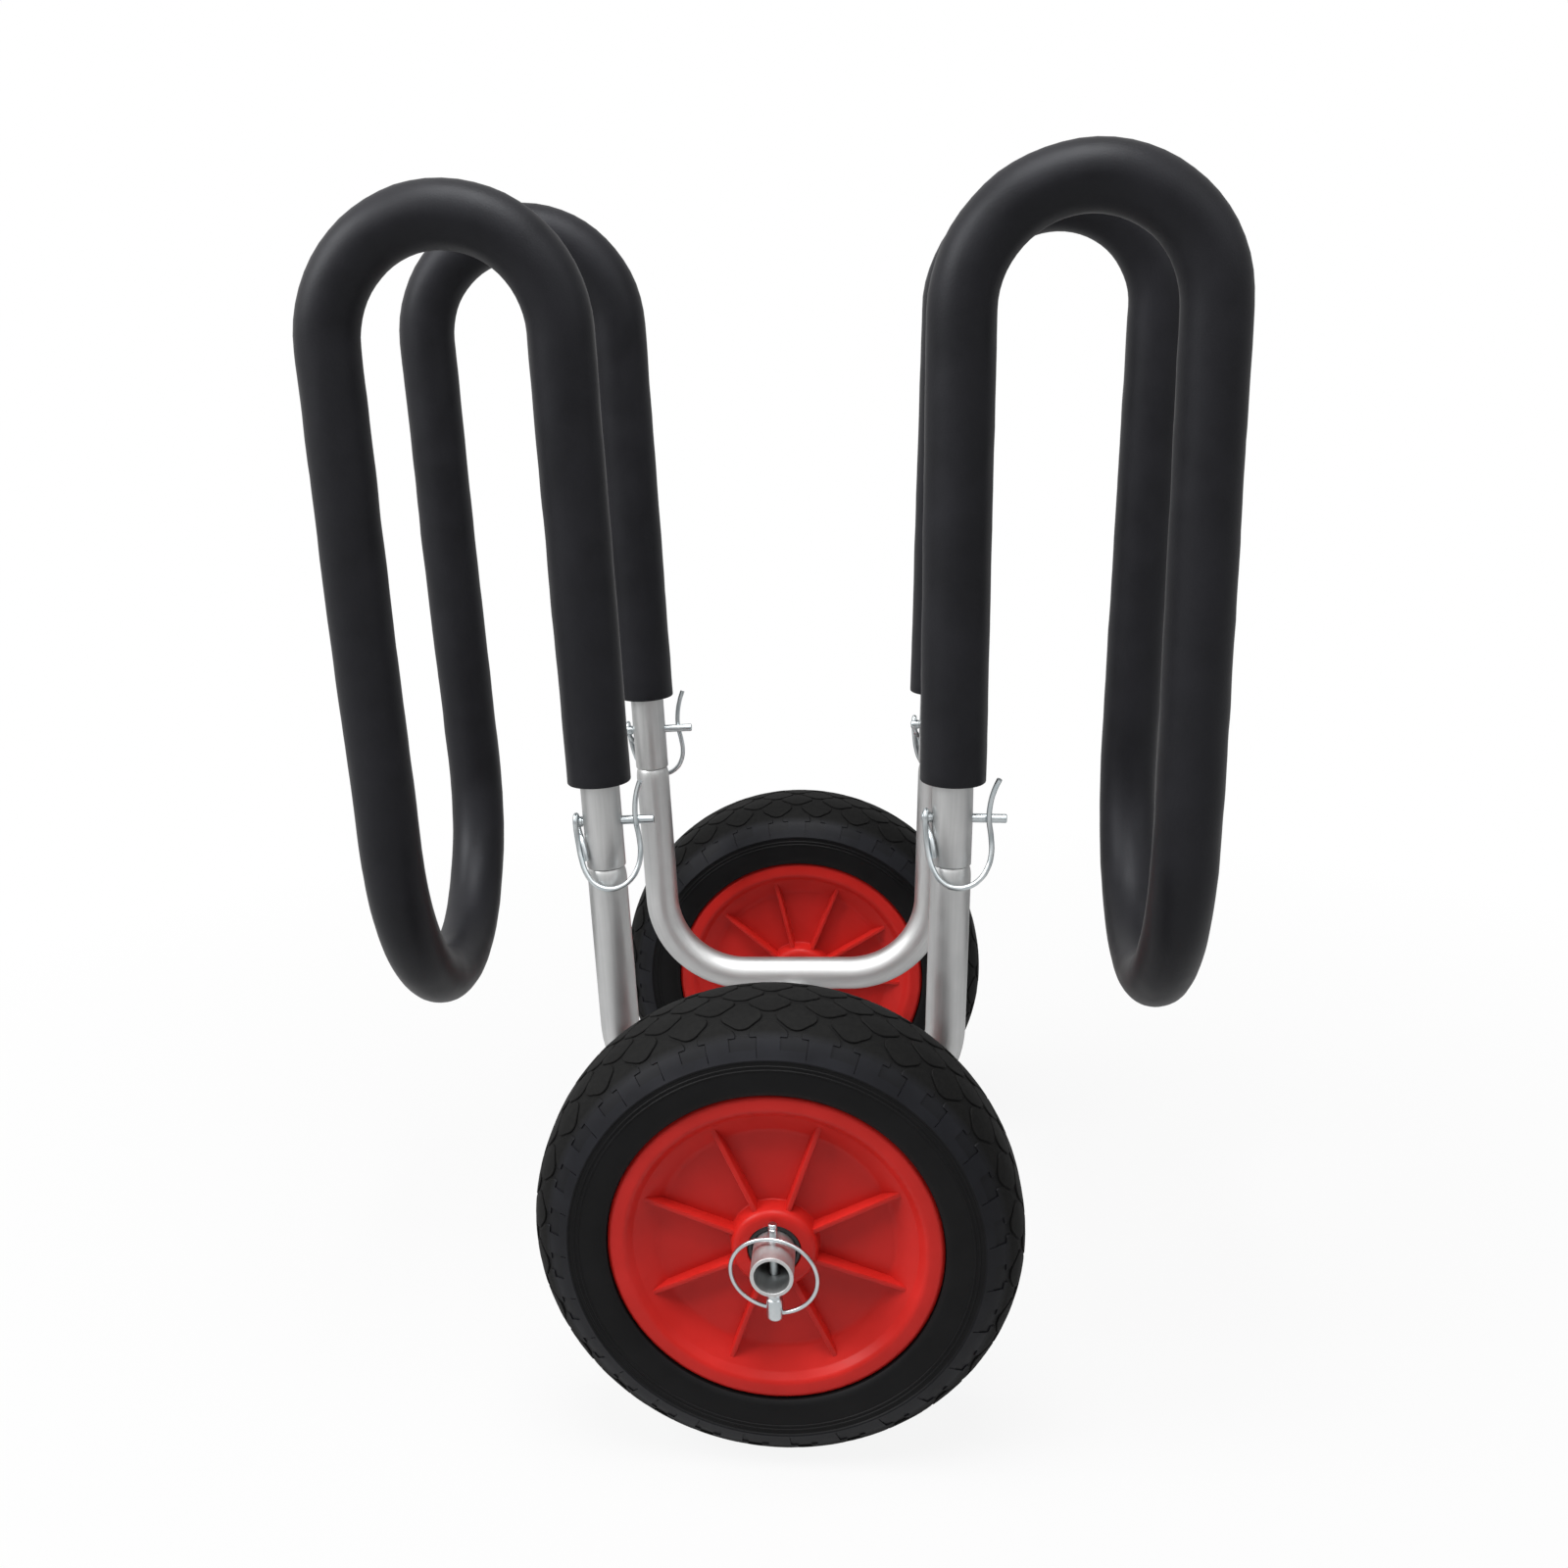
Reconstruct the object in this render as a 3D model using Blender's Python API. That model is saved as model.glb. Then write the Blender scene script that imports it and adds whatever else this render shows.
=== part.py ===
"""Paddleboard cart: two padded saddle arms pinned on two bent frames over a two-wheel axle.

The board stands on its edge between the near and the far padded legs and rests on the
bottoms of the two loops. X is the rolling direction and the length of the board, Y runs
along the axle from the near wheel (-Y) to the far wheel (+Y), and Z is up. The origin
is on the ground, under the middle of the cart. Lengths are in metres.
"""

import math

import bmesh
import bpy
from mathutils import Matrix, Vector

# Wheels
WHEEL_DIAMETER = 0.260
WHEEL_TRACK = 0.382
TYRE_WIDTH = 0.076
TREAD_CROWN_WIDTH = 0.016
SHOULDER_WIDTH = 0.044
SHOULDER_DROP = 0.0032
SHOULDER_ROUND = 0.009
SIDEWALL_DIAMETER = 0.216
SIDEWALL_EDGE = 0.004
TYRE_BULGE = 0.0015
RIM_DIAMETER = 0.1756
RIM_WIDTH = 0.069
RIM_LIP_HEIGHT = 0.0085
RIM_LIP_THICKNESS = 0.003
RIM_LIP_ROUND = 0.0012
RIM_SEAT_DIAMETER = 0.150
RIM_SEAT_WIDTH = 0.044
DISH_DIAMETER = 0.122
DISH_DEPTH = 0.012
RIB_COUNT = 8
RIB_THICKNESS = 0.003
RIB_DROP_AT_HUB = 0.0035
RIB_DROP_AT_RIM = 0.0075
RIB_END_DIAMETER = 0.142
RIB_ROOT = 0.001
FIRST_RIB_ANGLE = math.radians(25)
HUB_DIAMETER = 0.0444
HUB_TAPER = 0.0012
BUSH_WALL = 0.0023
BUSH_LENGTH = 0.020
BUSH_RECESS = 0.001

# Axle, its spacers and its lynch pins
AXLE_DIAMETER = 0.0222
AXLE_WALL = 0.002
AXLE_OVERHANG = 0.0263
SPACER_WALL = 0.0023
LYNCH_PIN_OFFSET = 0.0065
LYNCH_SHAFT_DIAMETER = 0.0048
LYNCH_TIP_HEIGHT = 0.0085
LYNCH_HEAD_DIAMETER = 0.0087
LYNCH_HEAD_LENGTH = 0.014
LYNCH_EDGE = 0.001
RING_PIVOT_DROP = 0.0168
RING_DIAMETER = 0.0462
RING_WIRE_DIAMETER = 0.0025
RING_TILT = math.radians(9)

# Bent frames
TUBE_DIAMETER = 0.0222
TUBE_WALL = 0.0015
FRAME_SPACING = 0.220
LEG_SPACING = 0.193
LEG_SPLAY = math.radians(1.8)
FRAME_BEND_RADIUS = 0.057
WELD_DIAMETER = 0.018
WELD_HEIGHT = 0.0094
PIN_HEIGHT = 0.329
SHOULDER_LENGTH = 0.0055
SWAGE_CHAMFER = 0.001

# Saddle arms and their foam sleeves; heights along a leg are measured from its clip pin
ARM_END_BELOW_PIN = 0.026
SOCKET_ABOVE_PIN = 0.034
SOCKET_END_GAP = 0.004
PAD_ABOVE_PIN = 0.023
HOOK_ABOVE_PIN = 0.267
HOOK_RADIUS = 0.063
LOOP_HEIGHT = 0.2015
PAD_THICKNESS = 0.0065

# Clip pins
CLIP_SHAFT_DIAMETER = 0.005
CLIP_TIP_REACH = 0.018
CLIP_TIP_CHAMFER = 0.0006
CLIP_HEAD_DIAMETER = 0.007
CLIP_HEAD_COLLAR = 0.003
CLIP_WIRE_DIAMETER = 0.003
CLIP_WIRE_CROSSING = 0.0081
CLIP_BOW_DROP = 0.0404
CLIP_END_RISE = 0.0240
CLIP_END_FLARE = 0.0046

# Gaps between touching pieces
GAP = 0.0003
RUNNING_GAP = 0.0004
WHEEL_END_PLAY = 0.001

# Facets round a section, and steps along a bend
WHEEL_SIDES = 32
AXLE_SIDES = 16
TUBE_SIDES = 12
PAD_SIDES = 16
PAD_BORE_SIDES = 8
PIN_SIDES = 10
HOLE_SIDES = 8
WIRE_SIDES = 6
RING_STEPS = 24
ARM_BEND_STEPS = 8
FRAME_BEND_STEPS = 5
SHOULDER_STEPS = 2

NEAR_FAR = {"near": -1, "far": 1}
LEFT_RIGHT = {"left": -1, "right": 1}

TUBE_RADIUS = TUBE_DIAMETER / 2
AXLE_RADIUS = AXLE_DIAMETER / 2
SWAGE_RADIUS = TUBE_RADIUS - TUBE_WALL - GAP
PAD_RADIUS = TUBE_RADIUS + GAP + PAD_THICKNESS
LOOP_RADIUS = FRAME_SPACING / 2
HUB_FACE = WHEEL_TRACK / 2 + RIM_WIDTH / 2
AXLE_HALF = HUB_FACE + AXLE_OVERHANG
LYNCH_Y = HUB_FACE + LYNCH_PIN_OFFSET
CLIP_HINGE = TUBE_RADIUS + GAP + CLIP_HEAD_COLLAR
# The tyre rests on the middle of its lowest facet.
AXLE_HEIGHT = WHEEL_DIAMETER / 2 * math.cos(math.pi / WHEEL_SIDES)
BAR_HEIGHT = AXLE_HEIGHT + AXLE_RADIUS + GAP + TUBE_RADIUS


def principled(name, colour, roughness, metallic=0.0):
    """One Principled material, named after its piece."""
    material = bpy.data.materials.new(name)
    material.use_nodes = True
    shader = material.node_tree.nodes["Principled BSDF"]
    shader.inputs["Base Color"].default_value = (*colour, 1.0)
    shader.inputs["Roughness"].default_value = roughness
    shader.inputs["Metallic"].default_value = metallic
    return material


def aluminium(name):
    return principled(name, (0.60, 0.60, 0.59), 0.36, 1.0)


def zinc_plate(name):
    return principled(name, (0.56, 0.60, 0.62), 0.28, 1.0)


def black_foam(name):
    return principled(name, (0.017, 0.017, 0.019), 0.75)


def black_rubber(name):
    return principled(name, (0.016, 0.016, 0.018), 0.68)


def red_plastic(name):
    return principled(name, (0.58, 0.032, 0.024), 0.42)


def black_nylon(name):
    return principled(name, (0.012, 0.012, 0.014), 0.50)


def add_empty(name, location, rotation=(0.0, 0.0, 0.0)):
    empty = bpy.data.objects.new(name, None)
    bpy.context.collection.objects.link(empty)
    empty.location = location
    empty.rotation_euler = rotation
    empty.empty_display_size = 0.02
    return empty


def add_object(name, bm, material=None, parent=None, location=(0.0, 0.0, 0.0), smooth_angle=40):
    """Turn a bmesh into an object, shaded smooth except across sharp edges."""
    bmesh.ops.recalc_face_normals(bm, faces=bm.faces)
    mesh = bpy.data.meshes.new(name)
    bm.to_mesh(mesh)
    bm.free()
    mesh.shade_smooth()
    mesh.set_sharp_from_angle(angle=math.radians(smooth_angle))
    piece = bpy.data.objects.new(name, mesh)
    bpy.context.collection.objects.link(piece)
    piece.location = location
    piece.parent = parent
    if material:
        mesh.materials.append(material)
    return piece


def combine(piece, tool, operation="DIFFERENCE"):
    """Cut or join piece with tool, which shares its parent, and remove the tool."""
    modifier = piece.modifiers.new(operation.title(), "BOOLEAN")
    modifier.operation = operation
    modifier.solver = "EXACT"
    modifier.object = tool
    bpy.context.view_layer.update()
    shaped = piece.evaluated_get(bpy.context.evaluated_depsgraph_get())
    mesh = bpy.data.meshes.new_from_object(shaped)
    piece.modifiers.clear()
    piece.data = mesh
    mesh.shade_smooth()
    mesh.set_sharp_from_angle(angle=math.radians(40))
    bpy.data.objects.remove(tool)


def turned(profile, sides, axis="Y", phase=0.5, closed=True):
    """Revolve an outline of (radius, distance along the axis) points.

    A closed outline makes a ring, and an open one a spindle that is capped at both
    ends. A phase of half a step puts a flat facet, and not an edge, at the bottom.
    """
    bm = bmesh.new()
    rings = []
    for step in range(sides):
        angle = math.tau * (step + phase) / sides - math.pi / 2
        ring = []
        for radius, along in profile:
            across, up = radius * math.cos(angle), radius * math.sin(angle)
            point = {
                "X": (along, across, up),
                "Y": (across, along, up),
                "Z": (across, up, along),
            }[axis]
            ring.append(bm.verts.new(point))
        rings.append(ring)
    count = len(profile)
    for step in range(sides):
        ring, following = rings[step], rings[(step + 1) % sides]
        for index in range(count if closed else count - 1):
            other = (index + 1) % count
            bm.faces.new((ring[index], ring[other], following[other], following[index]))
    if not closed:
        bm.faces.new([ring[0] for ring in rings])
        bm.faces.new([ring[-1] for ring in rings])
    return bm


def swept(stations, sides, normal=(1.0, 0.0, 0.0)):
    """A capped tube along (point, direction, radius) stations, turned as little as it can be."""
    bm = bmesh.new()
    normal = Vector(normal)
    previous = None
    rings = []
    for point, direction, radius in stations:
        direction = Vector(direction).normalized()
        if previous is not None:
            normal = previous.rotation_difference(direction) @ normal
        normal = (normal - direction * normal.dot(direction)).normalized()
        side = direction.cross(normal)
        ring = []
        for step in range(sides):
            angle = math.tau * step / sides
            spoke = normal * math.cos(angle) + side * math.sin(angle)
            ring.append(bm.verts.new(Vector(point) + spoke * radius))
        rings.append(ring)
        previous = direction
    for ring, following in zip(rings, rings[1:]):
        for step in range(sides):
            other = (step + 1) % sides
            bm.faces.new((ring[step], ring[other], following[other], following[step]))
    bm.faces.new(rings[0])
    bm.faces.new(rings[-1])
    return bm


def cylinder(radius, start, end, sides, normal=(1.0, 0.0, 0.0)):
    """A plain round bar between two points."""
    start, end = Vector(start), Vector(end)
    direction = end - start
    return swept([(start, direction, radius), (end, direction, radius)], sides, normal)


def mirrored_profile(half):
    """Complete a wheel outline from its half at positive distances along the axle."""
    return half + [(radius, -along) for radius, along in reversed(half)]


def rim_half():
    """Half of the rim's section: bore, hub, dish, lip and then the seat under the tyre."""
    face = RIM_WIDTH / 2
    lip = RIM_DIAMETER / 2
    hub = HUB_DIAMETER / 2
    bore = AXLE_RADIUS + RUNNING_GAP + BUSH_WALL + GAP
    dish = face - DISH_DEPTH
    return [
        (bore, face),
        (hub, face),
        (hub + HUB_TAPER, dish),
        (DISH_DIAMETER / 2, dish),
        (RIB_END_DIAMETER / 2, face - RIB_DROP_AT_RIM + RIB_ROOT / 2),
        (lip - RIM_LIP_HEIGHT, face - RIM_LIP_ROUND),
        (lip - RIM_LIP_HEIGHT + RIM_LIP_ROUND, face),
        (lip, face),
        (lip, face - RIM_LIP_THICKNESS),
        (RIM_SEAT_DIAMETER / 2, RIM_SEAT_WIDTH / 2),
    ]


def tyre_half():
    """Half of the tyre's section, from the middle of the tread to the seat on the rim."""
    lip = RIM_DIAMETER / 2 + GAP
    crown = WHEEL_DIAMETER / 2
    shoulder = crown - SHOULDER_DROP
    return [
        (crown, TREAD_CROWN_WIDTH / 2),
        (shoulder, SHOULDER_WIDTH / 2),
        (shoulder - SHOULDER_ROUND, SHOULDER_WIDTH / 2 + SHOULDER_ROUND),
        (SIDEWALL_DIAMETER / 2, TYRE_WIDTH / 2),
        (lip + SIDEWALL_EDGE, TYRE_WIDTH / 2),
        (lip, TYRE_WIDTH / 2 - TYRE_BULGE),
        (lip, RIM_WIDTH / 2 - RIM_LIP_THICKNESS - GAP),
        (RIM_SEAT_DIAMETER / 2 + GAP, RIM_SEAT_WIDTH / 2 - GAP),
    ]


def rib_plates():
    """Ribs that run from the hub to the dished wall and stand out of both faces."""
    bm = bmesh.new()
    inner = HUB_DIAMETER / 2 - RIB_ROOT
    outer = RIB_END_DIAMETER / 2 + RIB_ROOT
    at_hub = RIM_WIDTH / 2 - RIB_DROP_AT_HUB
    at_rim = RIM_WIDTH / 2 - RIB_DROP_AT_RIM
    for rib in range(RIB_COUNT):
        turn = Matrix.Rotation(-FIRST_RIB_ANGLE - math.tau * rib / RIB_COUNT, 4, "Y")
        corners = []
        for half in (-RIB_THICKNESS / 2, RIB_THICKNESS / 2):
            section = ((inner, -at_hub), (inner, at_hub), (outer, at_rim), (outer, -at_rim))
            corners.append([bm.verts.new(turn @ Vector((r, y, half))) for r, y in section])
        low, high = corners
        bm.faces.new(low)
        bm.faces.new(high)
        for step in range(4):
            other = (step + 1) % 4
            bm.faces.new((low[step], low[other], high[other], high[step]))
    return bm


def make_wheel(end, sign):
    """Rim, tyre and the two sleeve bushes of one wheel, on an empty at the wheel's centre."""
    centre = add_empty(f"wheel_{end}", (0.0, sign * WHEEL_TRACK / 2, AXLE_HEIGHT))
    rim_shape = turned(mirrored_profile(rim_half()), WHEEL_SIDES)
    rim = add_object(f"rim_{end}", rim_shape, red_plastic(f"rim_{end}"), centre)
    combine(rim, add_object(f"ribs_{end}", rib_plates(), None, centre), "UNION")
    tyre_shape = turned(mirrored_profile(tyre_half()), WHEEL_SIDES)
    add_object(f"tyre_{end}", tyre_shape, black_rubber(f"tyre_{end}"), centre)
    inner = AXLE_RADIUS + RUNNING_GAP
    outer = inner + BUSH_WALL
    for place, side in (("outer", sign), ("inner", -sign)):
        face = side * (RIM_WIDTH / 2 - BUSH_RECESS)
        back = face - side * BUSH_LENGTH
        section = [(inner, face), (outer, face), (outer, back), (inner, back)]
        name = f"bush_{place}_{end}"
        add_object(name, turned(section, AXLE_SIDES), black_nylon(name), centre)


def make_axle():
    """The hollow axle with its cross holes for the lynch pins."""
    centre = add_empty("axle", (0.0, 0.0, AXLE_HEIGHT))
    inner = AXLE_RADIUS - AXLE_WALL
    section = [
        (inner, -AXLE_HALF),
        (AXLE_RADIUS, -AXLE_HALF),
        (AXLE_RADIUS, AXLE_HALF),
        (inner, AXLE_HALF),
    ]
    tube = add_object("axle_tube", turned(section, AXLE_SIDES), aluminium("axle_tube"), centre)
    hole = LYNCH_SHAFT_DIAMETER / 2 + GAP
    for sign in NEAR_FAR.values():
        low = (0.0, sign * LYNCH_Y, -AXLE_DIAMETER)
        high = (0.0, sign * LYNCH_Y, AXLE_DIAMETER)
        combine(tube, add_object("lynch_hole", cylinder(hole, low, high, HOLE_SIDES), None, centre))
    for end, sign in NEAR_FAR.items():
        start = sign * (FRAME_SPACING / 2 + TUBE_RADIUS + GAP)
        stop = sign * (WHEEL_TRACK / 2 - RIM_WIDTH / 2 - WHEEL_END_PLAY)
        bore = AXLE_RADIUS + RUNNING_GAP
        section = [(bore, start), (bore + SPACER_WALL, start), (bore + SPACER_WALL, stop), (bore, stop)]
        name = f"axle_spacer_{end}"
        add_object(name, turned(section, AXLE_SIDES), aluminium(name), centre)


def ring_loop(lean):
    """A round wire ring that stands on the origin, leaning over by a rotation."""
    bm = bmesh.new()
    radius = RING_DIAMETER / 2
    rings = []
    for step in range(RING_STEPS):
        angle = math.tau * step / RING_STEPS - math.pi / 2
        spoke = Vector((math.cos(angle), 0.0, math.sin(angle)))
        middle = Vector((0.0, 0.0, radius)) + spoke * radius
        ring = []
        for side in range(WIRE_SIDES):
            turn = math.tau * side / WIRE_SIDES
            offset = spoke * math.cos(turn) + Vector((0.0, math.sin(turn), 0.0))
            ring.append(bm.verts.new(lean @ (middle + offset * (RING_WIRE_DIAMETER / 2))))
        rings.append(ring)
    for step in range(RING_STEPS):
        ring, following = rings[step], rings[(step + 1) % RING_STEPS]
        for side in range(WIRE_SIDES):
            other = (side + 1) % WIRE_SIDES
            bm.faces.new((ring[side], ring[other], following[other], following[side]))
    return bm


def make_lynch_pin(end, sign):
    """A lynch pin that hangs in the axle's end, and the sprung ring that locks it."""
    pivot_height = AXLE_HEIGHT - AXLE_RADIUS - RING_PIVOT_DROP
    pivot = add_empty(f"lynch_{end}", (0.0, sign * LYNCH_Y, pivot_height))
    head = LYNCH_HEAD_DIAMETER / 2
    shaft = LYNCH_SHAFT_DIAMETER / 2
    half = LYNCH_HEAD_LENGTH / 2
    tip = RING_PIVOT_DROP + AXLE_DIAMETER + LYNCH_TIP_HEIGHT
    outline = [
        (head - LYNCH_EDGE, -half),
        (head, -half + LYNCH_EDGE),
        (head, half - LYNCH_EDGE),
        (shaft, half),
        (shaft, tip - LYNCH_EDGE),
        (shaft - LYNCH_EDGE, tip),
    ]
    name = f"lynch_pin_{end}"
    shape = turned(outline, PIN_SIDES, "Z", closed=False)
    pin = add_object(name, shape, zinc_plate(name), pivot)
    # The ring's wire rises a little inside the head, so its hole is that much wider.
    rise = head * math.tan(math.pi / RING_STEPS)
    hole = RING_WIRE_DIAMETER / 2 + rise + GAP
    drill = cylinder(hole, (-2 * head, 0, 0), (2 * head, 0, 0), PIN_SIDES, (0, 0, 1))
    combine(pin, add_object("ring_hole", drill, None, pivot))
    name = f"lynch_ring_{end}"
    lean = Matrix.Rotation(-sign * RING_TILT, 4, "X")
    add_object(name, ring_loop(lean), zinc_plate(name), pivot, smooth_angle=80)


def frame_path():
    """Stations of one bent frame in its own plane, from the left leg's top to the right's.

    Each is a point, a direction and a radius; heights are above the bar's centre line.
    """
    up = Vector((math.sin(LEG_SPLAY), 0.0, math.cos(LEG_SPLAY)))
    outward = Vector((math.cos(LEG_SPLAY), 0.0, -math.sin(LEG_SPLAY)))
    pin = Vector((LEG_SPACING / 2, 0.0, PIN_HEIGHT - BAR_HEIGHT))
    radius = FRAME_BEND_RADIUS
    drop = (pin.z + radius * math.sin(LEG_SPLAY) - radius) / math.cos(LEG_SPLAY)
    centre = pin - up * drop - outward * radius
    right = []
    for step in range(FRAME_BEND_STEPS + 1):
        angle = (math.pi / 2 - LEG_SPLAY) * step / FRAME_BEND_STEPS
        spoke = Vector((math.sin(angle), 0.0, -math.cos(angle)))
        along = Vector((math.cos(angle), 0.0, math.sin(angle)))
        right.append((centre + spoke * radius, along, TUBE_RADIUS))
    shoulder = -ARM_END_BELOW_PIN - GAP
    neck = TUBE_RADIUS - SWAGE_RADIUS
    leg = []
    for step in range(SHOULDER_STEPS + 1):
        angle = math.pi / 2 * step / SHOULDER_STEPS
        height = shoulder - SHOULDER_LENGTH * (1 - math.sin(angle))
        leg.append((height, SWAGE_RADIUS + neck * math.cos(angle)))
    leg.append((SOCKET_ABOVE_PIN - SWAGE_CHAMFER, SWAGE_RADIUS))
    leg.append((SOCKET_ABOVE_PIN, SWAGE_RADIUS - SWAGE_CHAMFER / 2))
    right += [(pin + up * height, up, size) for height, size in leg]
    left = []
    for point, along, size in reversed(right):
        left.append((Vector((-point.x, 0.0, point.z)), Vector((along.x, 0.0, -along.z)), size))
    return left + right


def make_frame(end, sign):
    """One bent frame: a flat bar over the axle and two legs with necked, drilled ends."""
    base = add_empty(f"frame_{end}", (0.0, sign * FRAME_SPACING / 2, BAR_HEIGHT))
    path = frame_path()
    name = f"bent_frame_{end}"
    frame = add_object(name, swept(path, TUBE_SIDES, (0, 1, 0)), aluminium(name), base)
    bore = SWAGE_RADIUS - TUBE_WALL
    for side in LEFT_RIGHT.values():
        up = Vector((side * math.sin(LEG_SPLAY), 0.0, math.cos(LEG_SPLAY)))
        across = Vector((math.cos(LEG_SPLAY), 0.0, -side * math.sin(LEG_SPLAY)))
        pin = Vector((side * LEG_SPACING / 2, 0.0, PIN_HEIGHT - BAR_HEIGHT))
        bottom = pin - up * (ARM_END_BELOW_PIN + SHOULDER_LENGTH + TUBE_DIAMETER)
        top = pin + up * (SOCKET_ABOVE_PIN + TUBE_WALL)
        combine(frame, add_object("leg_bore", cylinder(bore, bottom, top, TUBE_SIDES, across), None, base))
        hole = CLIP_SHAFT_DIAMETER / 2 + GAP
        ends = (pin - across * TUBE_DIAMETER, pin + across * TUBE_DIAMETER)
        combine(frame, add_object("pin_hole", cylinder(hole, *ends, HOLE_SIDES, (0, 0, 1)), None, base))


def make_weld(end, sign):
    """The weld between a frame's bar and the axle, hollowed by both tubes."""
    base = add_empty(f"weld_{end}", (0.0, sign * FRAME_SPACING / 2, AXLE_HEIGHT + AXLE_RADIUS + GAP / 2))
    name = f"frame_weld_{end}"
    low = (0.0, 0.0, -WELD_HEIGHT / 2)
    high = (0.0, 0.0, WELD_HEIGHT / 2)
    weld = add_object(name, cylinder(WELD_DIAMETER / 2, low, high, TUBE_SIDES), aluminium(name), base)
    axle_centre = -AXLE_RADIUS - GAP / 2
    bar_centre = TUBE_RADIUS + GAP / 2
    cuts = (
        ((0.0, -WELD_DIAMETER, axle_centre), (0.0, WELD_DIAMETER, axle_centre), AXLE_RADIUS),
        ((-WELD_DIAMETER, 0.0, bar_centre), (WELD_DIAMETER, 0.0, bar_centre), TUBE_RADIUS),
    )
    for start, stop, radius in cuts:
        cutter = cylinder(radius + GAP, start, stop, 2 * TUBE_SIDES, (0, 0, 1))
        combine(weld, add_object("weld_cut", cutter, None, base))


def arm_path(start):
    """Stations of one arm: near leg, hook, outer leg, loop, outer leg, hook and far leg.

    The arm's own frame has X outward, Z up along the legs and its origin midway
    between the two clip pins. start is the height of both ends on the legs.
    """
    near = -FRAME_SPACING / 2
    outer = 2 * HOOK_RADIUS
    rise = (LOOP_HEIGHT - PIN_HEIGHT + outer * math.sin(LEG_SPLAY)) / math.cos(LEG_SPLAY)
    loop_centre = rise + LOOP_RADIUS
    half = [(Vector((0.0, near, start)), Vector((0.0, 0.0, 1.0)))]
    for step in range(ARM_BEND_STEPS + 1):
        angle = math.pi * step / ARM_BEND_STEPS
        point = (HOOK_RADIUS * (1 - math.cos(angle)), near, HOOK_ABOVE_PIN + HOOK_RADIUS * math.sin(angle))
        half.append((Vector(point), Vector((math.sin(angle), 0.0, math.cos(angle)))))
    loop = []
    for step in range(ARM_BEND_STEPS + 1):
        angle = math.pi * step / ARM_BEND_STEPS
        point = (outer, -LOOP_RADIUS * math.cos(angle), loop_centre - LOOP_RADIUS * math.sin(angle))
        loop.append((Vector(point), Vector((0.0, math.sin(angle), -math.cos(angle)))))
    other = []
    for point, along in reversed(half):
        other.append((Vector((point.x, -point.y, point.z)), Vector((-along.x, along.y, -along.z))))
    return half + loop + other


def make_arm(side_name, side):
    """One saddle arm and its foam sleeve, leaning outward with the legs it sits on."""
    turn = 0.0 if side > 0 else math.pi
    base = add_empty(f"arm_{side_name}", (side * LEG_SPACING / 2, 0.0, PIN_HEIGHT), (0.0, LEG_SPLAY, turn))
    stations = [(point, along, TUBE_RADIUS) for point, along in arm_path(-ARM_END_BELOW_PIN)]
    name = f"arm_tube_{side_name}"
    arm = add_object(name, swept(stations, TUBE_SIDES), aluminium(name), base)
    socket = TUBE_RADIUS - TUBE_WALL
    hole = CLIP_SHAFT_DIAMETER / 2 + GAP
    for y in (-FRAME_SPACING / 2, FRAME_SPACING / 2):
        mouth = (0.0, y, -ARM_END_BELOW_PIN - TUBE_WALL)
        floor = (0.0, y, SOCKET_ABOVE_PIN + SOCKET_END_GAP)
        combine(arm, add_object("socket", cylinder(socket, mouth, floor, TUBE_SIDES), None, base))
        ends = ((-TUBE_DIAMETER, y, 0.0), (TUBE_DIAMETER, y, 0.0))
        combine(arm, add_object("pin_hole", cylinder(hole, *ends, HOLE_SIDES, (0, 0, 1)), None, base))
    name = f"foam_sleeve_{side_name}"
    stations = [(point, along, PAD_RADIUS) for point, along in arm_path(PAD_ABOVE_PIN)]
    pad = add_object(name, swept(stations, PAD_SIDES), black_foam(name), base)
    bore = (TUBE_RADIUS + GAP) / math.cos(math.pi / PAD_BORE_SIDES)
    stations = [(point, along, bore) for point, along in arm_path(PAD_ABOVE_PIN - PAD_THICKNESS)]
    combine(pad, add_object("sleeve_bore", swept(stations, PAD_BORE_SIDES), None, base))


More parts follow.
